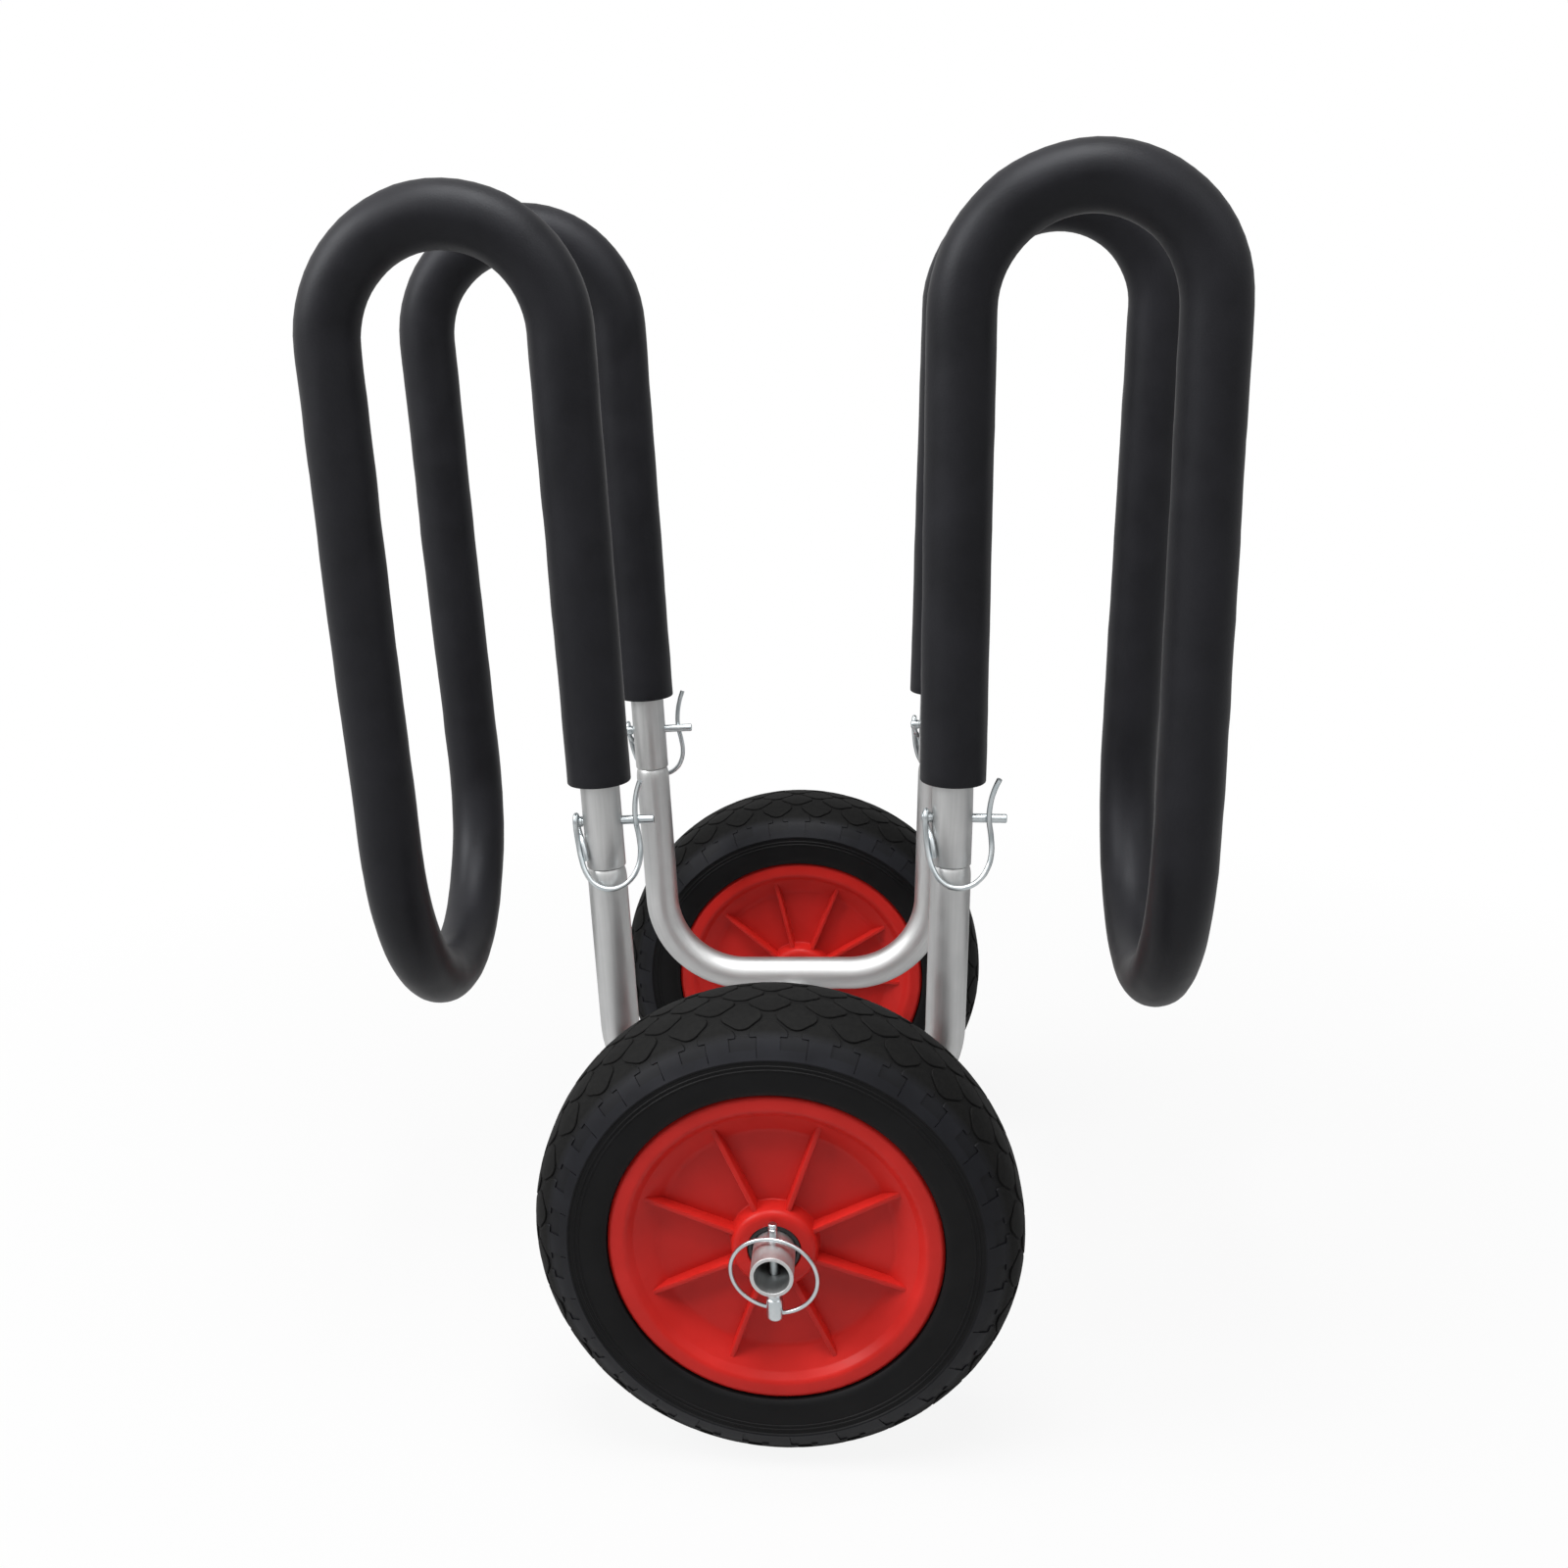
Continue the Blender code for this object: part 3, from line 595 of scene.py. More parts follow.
def draw_leg(side, y, direction, stations):
    """Draw a tube on through (height, radius) stations of a leg."""
    for (height, radius), (next_height, next_radius) in zip(stations, stations[1:]):
        run(direction * abs(next_height - height))
        widen(next_radius / radius, leg_point(side, y, next_height))


def leg_stations(drop):
    """The leg's heights and radii: its neck, its rounded shoulder and its straight."""
    stations = [(NECK_TOP, NECK_RADIUS)]
    for step in range(SHOULDER_STEPS + 1):
        angle = math.pi / 2 * step / SHOULDER_STEPS
        radius = NECK_RADIUS + (TUBE_RADIUS - NECK_RADIUS) * math.sin(angle)
        stations.append((ARM_END - GAP - SHOULDER_LENGTH * (1 - math.cos(angle)), radius))
    return stations + [(-drop, TUBE_RADIUS)]


# %% Bent frames
FRAME_BEND_RADIUS = 0.057
BEND_STEPS = 24
CLIP_SHAFT_RADIUS = 0.0025


def make_bent_frame(end, sign):
    y = sign * FRAME_Y
    down = Vector((math.sin(LEG_SPLAY), 0, -math.cos(LEG_SPLAY)))
    up = Vector((math.sin(LEG_SPLAY), 0, math.cos(LEG_SPLAY)))
    outward = Vector((math.cos(LEG_SPLAY), 0, -math.sin(LEG_SPLAY)))
    bend_rise = FRAME_BEND_RADIUS * (1 - math.sin(LEG_SPLAY))
    drop = (PIN_HEIGHT - BAR_Z - bend_rise) / math.cos(LEG_SPLAY)
    bend_right = leg_point(1, y, -drop) - outward * FRAME_BEND_RADIUS
    bend_left = Vector((-bend_right.x, y, bend_right.z))
    turn = math.pi / 2 - LEG_SPLAY
    leg = leg_stations(drop)

    top = leg_point(-1, y, NECK_TOP)
    piece = add_ring(f"frame_tube_{end}", NECK_RADIUS, top, "Z", TUBE_SIDES, -LEG_SPLAY)
    draw_leg(-1, y, down, leg)
    bend(bend_left, -AXES["Y"], turn, BEND_STEPS)
    run((2 * bend_right.x, 0, 0))
    bend(bend_right, -AXES["Y"], turn, BEND_STEPS)
    draw_leg(1, y, up, leg[::-1])
    add_wall(outside_out(piece), TUBE_WALL)
    for side in LEFT_RIGHT.values():
        across = Vector((math.cos(LEG_SPLAY), 0, -side * math.sin(LEG_SPLAY)))
        drill(piece, leg_point(side, y, 0), across, CLIP_SHAFT_RADIUS + GAP, 2 * TUBE_RADIUS)

    route = [top]
    for centre, first in ((bend_left, math.pi), (bend_right, math.pi * 1.5)):
        for step in range(BEND_STEPS + 1):
            angle = first + math.pi / 2 * step / BEND_STEPS
            spoke = Vector((math.cos(angle), 0, math.sin(angle)))
            route.append(centre + spoke * FRAME_BEND_RADIUS)
    add_grain(piece, route + [leg_point(1, y, NECK_TOP)])
    dress(smooth(piece), aluminium, f"bent_frame_{end}", "cart_frame")


for end, sign in NEAR_FAR.items():
    make_bent_frame(end, sign)

# %% [markdown]
# ## Axle and spacers
# The axle is a straight tube that sticks out of both wheels, cut square and left open, with
# a cross hole at each end for its lynch pin. A loose sleeve keeps each wheel off the frame.
# A plain cylinder would have edges sharper than any real one, so both are turned from a
# rectangle whose corners are rounded, and the rounding catches light as a filed edge does.

# %% Axle and spacers
AXLE_WALL = 0.002
AXLE_EDGE = 0.0003
LYNCH_Y = 0.232
LYNCH_SHAFT_RADIUS = 0.0024
SLEEVE_INNER = 0.0115
SLEEVE_OUTER = 0.0138
SPACER_EDGE = 0.0004

axle_ends = (-AXLE_HALF, AXLE_HALF)
axle = sleeve("axle", TUBE_RADIUS - AXLE_WALL, TUBE_RADIUS, axle_ends, AXLE_EDGE, TUBE_SIDES)
for sign in NEAR_FAR.values():
    place = (0, sign * LYNCH_Y, AXLE_Z)
    drill(axle, place, AXES["Z"], LYNCH_SHAFT_RADIUS + GAP, 2 * TUBE_RADIUS)
add_grain(axle, [(0, y, AXLE_Z) for y in axle_ends])
dress(smooth(axle), aluminium, "axle_tube", "cart_frame")

for end in NEAR_FAR:
    low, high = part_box(f"axle_spacer_{end}")
    ends = (low.y, high.y)
    spacer = sleeve(f"spacer_{end}", SLEEVE_INNER, SLEEVE_OUTER, ends, SPACER_EDGE, TUBE_SIDES)
    add_grain(spacer, [(0, y, AXLE_Z) for y in ends])
    dress(smooth(spacer), aluminium, f"axle_spacer_{end}", "cart_frame")

# %% [markdown]
# ## Welds
# The bar of each frame is welded to the axle. A bead could be a ring of small blobs, but the
# real one is smooth and waisted. So it is turned as a waisted spool, and the two tubes are
# then cut out of it, which leaves the saddle shape at both ends.

# %% Welds
WELD_WAIST = 0.0078
WELD_FOOT = 0.0094
WELD_HALF = 0.0048
WELD_STEPS = 8
WELD_SIDES = 48
WELD_CUT_REACH = 0.02


def make_weld(end, sign):
    outline = []
    for step in range(WELD_STEPS + 1):
        height = WELD_HALF * (2 * step / WELD_STEPS - 1)
        outline.append((WELD_WAIST + (WELD_FOOT - WELD_WAIST) * (height / WELD_HALF) ** 2, height))
    middle = Vector((0, sign * FRAME_Y, AXLE_Z + TUBE_RADIUS + GAP / 2))
    bead = turned(f"weld_bead_{end}", outline, middle, "Z", WELD_SIDES, closed=False)
    for direction, height in (("Y", AXLE_Z), ("X", BAR_Z)):
        place = (0, sign * FRAME_Y, height)
        drill(bead, place, AXES[direction], TUBE_RADIUS + GAP / 2, WELD_CUT_REACH)
    add_grain(bead, [middle - AXES["Z"] * WELD_FOOT, middle + AXES["Z"] * WELD_FOOT])
    dress(smooth(bead), aluminium, f"frame_weld_{end}", "cart_frame")


for end, sign in NEAR_FAR.items():
    make_weld(end, sign)

# %% [markdown]
# ## Wheel rims
# A rim is one red moulding: a rounded lip that holds the tyre, a dished wall, a flat floor,
# and a hub boss in the middle, with thin ribs on both faces. The body is turned from
# an outline with every corner rounded. One rib is shaped from a cube, narrowed towards its
# top as a moulding has to be, rounded along its edges, copied round and joined to the body:
# eight outside and ten inside. Joined with a boolean, the ribs and the body are one skin.

# %% Helpers for what goes round the wheel
near_hub = Vector((0, -WHEEL_Y, AXLE_Z))


def add_block(name, place, size):
    """Add a block of a size, with its place and size in its mesh."""
    bpy.ops.object.select_all(action="DESELECT")
    bpy.ops.mesh.primitive_cube_add(size=1, location=place, scale=size)
    block = bpy.context.object
    block.name = name
    return settle(block)


def repeat_round(piece, count):
    """Repeat a piece at even angles round the near wheel's hub."""
    edit_all(piece)
    turn = math.tau * (count - 1) / count
    bpy.ops.mesh.spin(steps=count - 1, dupli=True, angle=turn, center=near_hub, axis=AXES["Y"])
    return outside_out(piece)


def mirrored(piece, name):
    """Copy a near piece to the far side, as seen in a mirror along the axle's middle."""
    select_only(piece)
    bpy.ops.object.duplicate()
    copied = bpy.context.object
    copied.name = copied.data.name = name
    edit_all(copied)
    bpy.ops.transform.resize(value=(1, -1, 1), center_override=(0, 0, 0))
    return outside_out(copied)


# %% Rims
RIM_FACE = 0.0345
RIM_SIDES = 96
HUB_BORE = 0.0141
HUB_RADIUS = 0.0222
HUB_FOOT_RADIUS = 0.0234
FLOOR_FACE = 0.0225
FLOOR_RADIUS = 0.0630
WALL_RADIUS = 0.0745
WALL_DROP = 0.0045
CREST_RADIUS = 0.0785
CREST_RISE = 0.0002
LIP_BEND_RADIUS = 0.0860
LIP_RADIUS = 0.0878
LIP_DROP = 0.0018
LIP_THICKNESS = 0.003
SEAT_RADIUS = 0.075
SEAT_HALF = 0.022


def rim_outline():
    """Corners as (radius, distance from the wheel's middle, rounding), on both faces."""
    half = [
        (HUB_BORE, RIM_FACE, 0.0006),
        (HUB_RADIUS, RIM_FACE, 0.0042),
        (HUB_FOOT_RADIUS, FLOOR_FACE, 0.0010),
        (FLOOR_RADIUS, FLOOR_FACE, 0.0070),
        (WALL_RADIUS, RIM_FACE - WALL_DROP, 0.0040),
        (CREST_RADIUS, RIM_FACE + CREST_RISE, 0.0040),
        (LIP_BEND_RADIUS, RIM_FACE, 0.0024),
        (LIP_RADIUS, RIM_FACE - LIP_DROP, 0.0010),
        (LIP_RADIUS, RIM_FACE - LIP_THICKNESS, 0.0004),
        (SEAT_RADIUS, SEAT_HALF, 0.0),
    ]
    other = [(radius, -along, rounding) for radius, along, rounding in reversed(half)]
    return rounded(half + other, 4)


rim = turned("wheel_rim_near", rim_outline(), near_hub, "Y", RIM_SIDES)
print("rim body faces:", len(rim.data.polygons))

# %% Ribs, and the far rim
OUTER_RIBS = (8, math.radians(25))
INNER_RIBS = (10, math.radians(31))
RIB_TOP_WIDTH = 0.0027
RIB_ROOT_WIDTH = 0.0038
RIB_FOOT = 0.018
RIB_DROP_AT_HUB = 0.0035
RIB_DROP_AT_RIM = 0.0062
RIB_END_RADIUS = 0.0715
RIB_OVERLAP = 0.001
RIB_EDGE = 0.0005


def make_ribs(face, count, first):
    """Ribs that stand out of one face: minus one is the outer face, and one the inner."""
    inner, outer = HUB_RADIUS - RIB_OVERLAP, RIB_END_RADIUS + RIB_OVERLAP
    middle = Vector(((inner + outer) / 2, face * (RIM_FACE + RIB_FOOT) / 2, 0))
    ribs = add_block("ribs", middle, (outer - inner, RIM_FACE - RIB_FOOT, RIB_ROOT_WIDTH))
    for vertex in ribs.data.vertices:
        if abs(vertex.co.y) > abs(middle.y):
            drop = RIB_DROP_AT_HUB if vertex.co.x < middle.x else RIB_DROP_AT_RIM
            vertex.co.y -= face * drop
            vertex.co.z *= RIB_TOP_WIDTH / RIB_ROOT_WIDTH
    soften(ribs, RIB_EDGE)
    ribs.rotation_euler = (0, -first, 0)
    ribs.location = near_hub
    return repeat_round(settle(ribs), count)


for face, (count, first) in ((-1, OUTER_RIBS), (1, INNER_RIBS)):
    combine(rim, make_ribs(face, count, first), "UNION")
far_rim = mirrored(rim, "wheel_rim_far")
dress(smooth(rim, 30), plastic, "rim_near", "wheel_near")
dress(smooth(far_rim, 30), plastic, "rim_far", "wheel_far")

# %% [markdown]
# ## Bushes
# A nylon bush is pressed into each end of a hub, and its end shows as a black ring round the
# axle. It is the same plain sleeve as a spacer, turned where the frame holds it.

# %% Bushes
BUSH_EDGE = 0.0005
BUSH_SIDES = 48

for end in NEAR_FAR:
    for place in ("outer", "inner"):
        low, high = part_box(f"bush_{place}_{end}")
        name = f"sleeve_bush_{place}_{end}"
        bush = sleeve(name, SLEEVE_INNER, SLEEVE_OUTER, (low.y, high.y), BUSH_EDGE, BUSH_SIDES)
        dress(smooth(bush), nylon, f"bush_{place}_{end}", f"wheel_{end}")

# %% [markdown]
# ## Tyres
# The tread is moulded in the solid foam tyre: rows of rounded diamonds with thin grooves
# between them, staggered like fish scales, and at each shoulder a band of lugs with a
# shallow recess under every scale. There are 28 repeats round the wheel. One diamond and
# one recess are shaped flat, as on a drawing board, and a formula lays them on the tyre's
# curved profile. Then each row is spun round the wheel and joined to the turned carcass. A
# bump pattern would be lighter, but it leaves the tyre's outline smooth.

# %% Tyre profile
WHEEL_RADIUS = 0.130
TREAD_HALF = 0.038
TREAD_DROP = 0.0215
PROFILE_POWER = 3.4
PROFILE_STEPS = 400
PITCHES = 28
PITCH = math.tau * WHEEL_RADIUS / PITCHES


def profile_drop(across):
    """How far the tread's surface lies below its crown."""
    return TREAD_DROP * (abs(across) / TREAD_HALF) ** PROFILE_POWER


profile = [(0.0, 0.0)]
for step in range(1, PROFILE_STEPS + 1):
    across = TREAD_HALF * step / PROFILE_STEPS
    rise = profile_drop(across) - profile_drop(profile[-1][1])
    profile.append((profile[-1][0] + math.hypot(across - profile[-1][1], rise), across))
profile_lengths, profile_across = zip(*profile)
TREAD_LENGTH = profile[-1][0]
print("tread length from crown to edge, mm:", round(TREAD_LENGTH * 1000, 1))


def on_profile(length, height):
    """Radius and distance from the wheel's middle, at a length from the crown."""
    y = float(np.interp(abs(length), profile_lengths, profile_across))
    slope = TREAD_DROP * PROFILE_POWER / TREAD_HALF * (y / TREAD_HALF) ** (PROFILE_POWER - 1)
    tilt = math.atan(slope)
    radius = WHEEL_RADIUS - profile_drop(y) + height * math.cos(tilt)
    return radius, math.copysign(y + height * math.sin(tilt), length)


# %% Tyre carcass
GROOVE_DEPTH = 0.0009
ROW_SPACING = 0.0112
BAND_START = 3 * ROW_SPACING
TREAD_STEPS = 12
BAND_STEPS = 6
BAND_STEP_LENGTH = 0.0005
EDGE_ROUNDING = 0.0004
EDGE_LEAN = 0.0001
EDGE_FOOT = 0.0009
SIDEWALL_Y = 0.0374
RIDGE_RADII = (0.1050, 0.1028)
RIDGE_FOOT = 0.0006
RIDGE_TOP = 0.0003
RIDGE_HEIGHT = 0.0003
SIDEWALL_BULGE = ((0.0985, 0.0001), (0.0945, 0.0), (0.0915, -0.0003), (0.0895, -0.0009))
BEAD_DROP = 0.0022
TYRE_SIDES = PITCHES * 4


def tyre_outline():
    """Points as (radius, distance from the wheel's middle), from the crown to the rim's seat."""
    tread = [BAND_START * step / TREAD_STEPS for step in range(TREAD_STEPS + 1)]
    left = TREAD_LENGTH - BAND_START
    band = [BAND_START + left * step / BAND_STEPS for step in range(1, BAND_STEPS)]
    half = [on_profile(length, -GROOVE_DEPTH) for length in tread]
    half += [on_profile(length, 0.0) for length in [BAND_START + BAND_STEP_LENGTH, *band]]
    half += [
        (TREAD_EDGE_RADIUS + EDGE_ROUNDING, TREAD_HALF),
        (TREAD_EDGE_RADIUS - EDGE_ROUNDING, TREAD_HALF - EDGE_LEAN),
        (TREAD_EDGE_RADIUS - EDGE_FOOT, SIDEWALL_Y),
    ]
    crest = SIDEWALL_Y + RIDGE_HEIGHT
    for ridge in RIDGE_RADII:
        half += [(ridge + RIDGE_FOOT, SIDEWALL_Y), (ridge + RIDGE_TOP, crest)]
        half += [(ridge - RIDGE_TOP, crest), (ridge - RIDGE_FOOT, SIDEWALL_Y)]
    half += [(radius, SIDEWALL_Y + bulge) for radius, bulge in SIDEWALL_BULGE]
    half += [
        (LIP_RADIUS + GAP, SIDEWALL_Y - BEAD_DROP),
        (LIP_RADIUS + GAP, RIM_FACE - LIP_THICKNESS - GAP),
        (SEAT_RADIUS + GAP, SEAT_HALF - GAP),
    ]
    return half + [(radius, -along) for radius, along in reversed(half[1:])]


tyre = turned("tyre_moulding_near", tyre_outline(), near_hub, "Y", TYRE_SIDES)
print("carcass faces:", len(tyre.data.polygons))

# %% A scale, a lug and a recess, shaped flat
SCALE_SHRINK = 0.93
SCALE_CORNER = 0.0056
SCALE_CORNER_STEPS = 4
SCALE_EDGE = 0.0004
SCALE_MIDDLE = 0.0032
SCALE_SINK = 0.0005
LUG_FOOT = 0.0012
RECESS_TOP = 0.002


def flat_scale():
    """A rounded diamond with a softened top edge, lying on the groove's floor."""
    bpy.ops.object.select_all(action="DESELECT")
    bpy.ops.mesh.primitive_circle_add(vertices=4, radius=1, fill_type="NGON")
    scale = bpy.context.object
    scale.scale = (PITCH / 2 * SCALE_SHRINK, ROW_SPACING * SCALE_SHRINK, 1)
    scale.location.z = -GROOVE_DEPTH - SCALE_SINK
    edit_all(settle(scale))
    bpy.ops.mesh.bevel(affect="VERTICES", offset=SCALE_CORNER, segments=SCALE_CORNER_STEPS)
    bpy.ops.mesh.select_all(action="SELECT")
    run((0, 0, GROOVE_DEPTH + SCALE_SINK - SCALE_EDGE))
    bpy.ops.mesh.inset(thickness=SCALE_EDGE, depth=SCALE_EDGE)
    bpy.ops.mesh.inset(thickness=SCALE_MIDDLE, depth=0.0)
    bpy.ops.mesh.poke()
    outside_out(scale)
    for vertex in scale.data.vertices:
        vertex.co.z = min(0.0, vertex.co.z)
    return scale


def flat_lug(side):
    """The half of a scale that runs up from the shoulder band between two scales."""
    lug = flat_scale()
    edit_all(lug)
    foot, outward = (0, side * LUG_FOOT, 0), (0, side, 0)
    bpy.ops.mesh.bisect(plane_co=foot, plane_no=outward, clear_outer=True, use_fill=True)
    return outside_out(lug)


def flat_recess(name, x, width, length, depth):
    """A block that cuts a shallow recess into the shoulder band."""
    middle = (x, 0, (RECESS_TOP - depth) / 2)
    block = add_block(name, middle, (width, length, RECESS_TOP + depth))
    edit_all(block)
    bpy.ops.mesh.subdivide(number_cuts=2)
    return outside_out(block)


# %% The tread laid round the tyre
RECESS_WIDTH = 0.016
RECESS_LENGTH = 0.0085
RECESS_DEPTH = 0.0006
RECESS_START = BAND_START - 0.0006
SLIT_WIDTH = 0.0005
SLIT_LENGTH = 0.0110
SLIT_DEPTH = 0.0008
SLIT_START = BAND_START + 0.0010
TREAD_PHASE = 0.5


def lay_round(flat, across, phase):
    """Lay a flat shape on the tyre and repeat it at every pitch round the wheel."""
    shift = Vector(((phase + TREAD_PHASE) * PITCH, across, 0))
    for vertex in flat.data.vertices:
        place = vertex.co + shift
        radius, y = on_profile(place.y, place.z)
        angle = place.x / WHEEL_RADIUS
        vertex.co = near_hub + Vector((radius * math.sin(angle), y, radius * math.cos(angle)))
    return repeat_round(flat, PITCHES)


for side in (-1, 1):
    recess = flat_recess("recess", 0, RECESS_WIDTH, RECESS_LENGTH, RECESS_DEPTH)
    combine(tyre, lay_round(recess, side * (RECESS_START + RECESS_LENGTH / 2), 0.0), "DIFFERENCE")
    slit_x = -side * (RECESS_WIDTH - SLIT_WIDTH) / 2
    slit = flat_recess("slit", slit_x, SLIT_WIDTH, SLIT_LENGTH, SLIT_DEPTH)
    combine(tyre, lay_round(slit, side * (SLIT_START + SLIT_LENGTH / 2), 0.0), "DIFFERENCE")
rows = [lay_round(flat_scale(), row * ROW_SPACING, 0.5 * (row % 2)) for row in range(-2, 3)]
rows += [lay_round(flat_lug(side), side * BAND_START, 0.5) for side in (-1, 1)]
select_only(rows[0])
for row in rows[1:]:
    row.select_set(True)
bpy.ops.object.join()
combine(tyre, rows[0], "UNION")
print("tread and carcass faces:", len(tyre.data.polygons))

# %% Sunk places, and the far tyre
SURFACE_STEPS = 60
SUNK_START = 0.0003


def clamp(value):
    return min(1.0, max(0.0, value))


def mark_sunk(piece):
    """Store how far each vertex lies under the tread's surface, as a share of a groove's depth, for the
    painted shade in the grooves.
    """
    reach = BAND_START + RECESS_LENGTH
    surface = [on_profile(reach * step / SURFACE_STEPS, 0.0) for step in range(SURFACE_STEPS + 1)]
    radii, across = zip(*surface)
    distances = [abs(vertex.co.y + WHEEL_Y) for vertex in piece.data.vertices]
    shares = []
    for vertex, height in zip(piece.data.vertices, np.interp(distances, across, radii)):
        radius = math.hypot(vertex.co.x, vertex.co.z - AXLE_Z)
        on_top = radius > radii[-1]
        shares.append(clamp((height - radius - SUNK_START) / GROOVE_DEPTH) if on_top else 0.0)
    piece.data.attributes.new("sunk", "FLOAT", "POINT").data.foreach_set("value", shares)
    print(piece.name, "share of vertices in grooves:", round(sum(shares) / len(shares), 2))


mark_sunk(tyre)
far_tyre = mirrored(tyre, "tyre_moulding_far")
dress(smooth(tyre), rubber, "tyre_near", "wheel_near")
dress(smooth(far_tyre), rubber, "tyre_far", "wheel_far")

# %% [markdown]
# ## Lynch pins and their rings
# A lynch pin drops through the axle's end and keeps the wheel on. Its thick head is below,
# and a sprung wire ring through the head swings up round the axle's end to lock it. The
# ring's two ends enter the head one a little above the other, which is what springs it. A
# torus has no ends, so a small circle is spun round instead, out of the head and back in.

# %% Lynch pins
LYNCH_SIDES = 32
LYNCH_HEAD_RADIUS = 0.00435
LYNCH_HEAD_TOP = 0.007
LYNCH_HEAD_LOW = -0.0078
LYNCH_COLLAR_STEP = 0.0007
RING_PIVOT_DROP = 0.0168
LYNCH_TIP = RING_PIVOT_DROP + 2 * TUBE_RADIUS + 0.0085
TIP_GROOVE_DEPTH = 0.0004


def make_lynch_pin(end, pivot):
    """Corners are (radius, height over the ring's pivot, rounding), from the head up."""
    head, shaft = LYNCH_HEAD_RADIUS, LYNCH_SHAFT_RADIUS
    collar, groove = head - LYNCH_COLLAR_STEP, shaft - TIP_GROOVE_DEPTH
    corners = [
        (head - 0.0030, LYNCH_HEAD_LOW, 0.0),
        (head, LYNCH_HEAD_LOW, 0.0022),
        (head, LYNCH_HEAD_TOP - 0.0030, 0.0008),
        (collar, LYNCH_HEAD_TOP - 0.0022, 0.0004),
        (collar, LYNCH_HEAD_TOP, 0.0008),
        (shaft, LYNCH_HEAD_TOP, 0.0004),
        (shaft, LYNCH_TIP - 0.0032, 0.0),
        (groove, LYNCH_TIP - 0.0029, 0.0),
        (groove, LYNCH_TIP - 0.0024, 0.0),
        (shaft, LYNCH_TIP - 0.0021, 0.0),
        (shaft, LYNCH_TIP, 0.0008),
        (shaft - 0.0015, LYNCH_TIP, 0.0),
    ]
    pin = turned(f"lynch_stem_{end}", rounded(corners), pivot, "Z", LYNCH_SIDES, closed=False)
    dress(smooth(pin), zinc, f"lynch_pin_{end}", "cart_frame")


# %% Rings
RING_RADIUS = 0.0227
RING_SAG = 0.0030
RING_WIRE = 0.00112
RING_WIRE_SIDES = 14
RING_TILT = math.radians(9)
RING_YAW = math.radians(6)
RING_OFFSET = 0.0009
RING_STEP = 0.0008
RING_STEPS = 96
RING_END_DEPTH = 0.6 * LYNCH_HEAD_RADIUS


def make_lynch_ring(end, sign, pivot):
    """A ring that starts and ends in the pin's head, tilted outward and turned a little."""
    lowest = pivot - AXES["Z"] * RING_SAG
    centre = lowest + AXES["Z"] * RING_RADIUS
    ring = add_ring(f"spring_ring_{end}", RING_WIRE, lowest, "X", RING_WIRE_SIDES)
    gap = math.asin(RING_END_DEPTH / RING_RADIUS)
    bend(centre, AXES["Y"], -gap, 1)
    bend(centre, AXES["Y"], -(math.tau - 2 * gap), RING_STEPS)
    outside_out(ring)
    for vertex in ring.data.vertices:
        spoke = vertex.co - centre
        turn = math.atan2(spoke.x, spoke.z) / math.pi
        vertex.co -= Vector((0, RING_OFFSET * turn, RING_STEP * turn))
    tilt = Matrix.Rotation(-sign * RING_TILT, 4, "X")
    yaw = Matrix.Rotation(-RING_YAW, 4, "Z")
    ring.matrix_world = Matrix.Translation(pivot) @ tilt @ yaw @ Matrix.Translation(-pivot)
    dress(smooth(settle(ring), 60), zinc, f"lynch_ring_{end}", f"ring_{end}")


for end, sign in NEAR_FAR.items():
    pivot = Vector((0, sign * LYNCH_Y, AXLE_Z - TUBE_RADIUS - RING_PIVOT_DROP))
    make_lynch_pin(end, pivot)
    make_lynch_ring(end, sign, pivot)

# %% [markdown]
# ## Saddle arms and their foam
# An arm is one bent tube: up from the near leg, over a hook, down, round the big loop that
# carries the board's rail, and back the same way to the far leg. Its foam sleeve is drawn
# along the same route and covers all but the last few centimetres. The sleeve is a skin
# with many rings, so that a cloud texture can move it in and out by a fraction of a
# millimetre, as real foam is never quite even. A wall and a rounded cut edge come last.

# %% The arm's route
HOOK_HEIGHT = 0.267
HOOK_RADIUS = 0.063
HOOK_RINGS = 16
LOOP_LOWEST = 0.2015
LOOP_RADIUS = FRAME_Y
LOOP_RINGS = 28
loop_rise = LOOP_LOWEST - PIN_HEIGHT + 2 * HOOK_RADIUS * math.sin(LEG_SPLAY)
LOOP_HEIGHT = loop_rise / math.cos(LEG_SPLAY) + LOOP_RADIUS


def draw_arm(name, radius, sides, near_start, far_start, step):
    """Draw a circle along the arm's route, with X outward and the origin between its pins."""
    rings = max(1, round((HOOK_HEIGHT - far_start) / step))
    outer_rings = max(1, round((HOOK_HEIGHT - LOOP_HEIGHT) / step))
    hook_rings = max(HOOK_RINGS, round(math.pi * HOOK_RADIUS / step))
    loop_rings = max(LOOP_RINGS, round(math.pi * LOOP_RADIUS / step))
    hook = Vector((HOOK_RADIUS, -FRAME_Y, HOOK_HEIGHT))
    piece = add_ring(name, radius, (0, -FRAME_Y, near_start), "Z", sides)
    run((0, 0, HOOK_HEIGHT - near_start), rings)
    bend(hook, AXES["Y"], math.pi, hook_rings)
    run((0, 0, LOOP_HEIGHT - HOOK_HEIGHT), outer_rings)
    bend((2 * HOOK_RADIUS, 0, LOOP_HEIGHT), AXES["X"], math.pi, loop_rings)
    run((0, 0, HOOK_HEIGHT - LOOP_HEIGHT), outer_rings)
    bend(hook + Vector((0, 2 * FRAME_Y, 0)), AXES["Y"], -math.pi, hook_rings)
    run((0, 0, far_start - HOOK_HEIGHT), rings)
    return outside_out(piece)


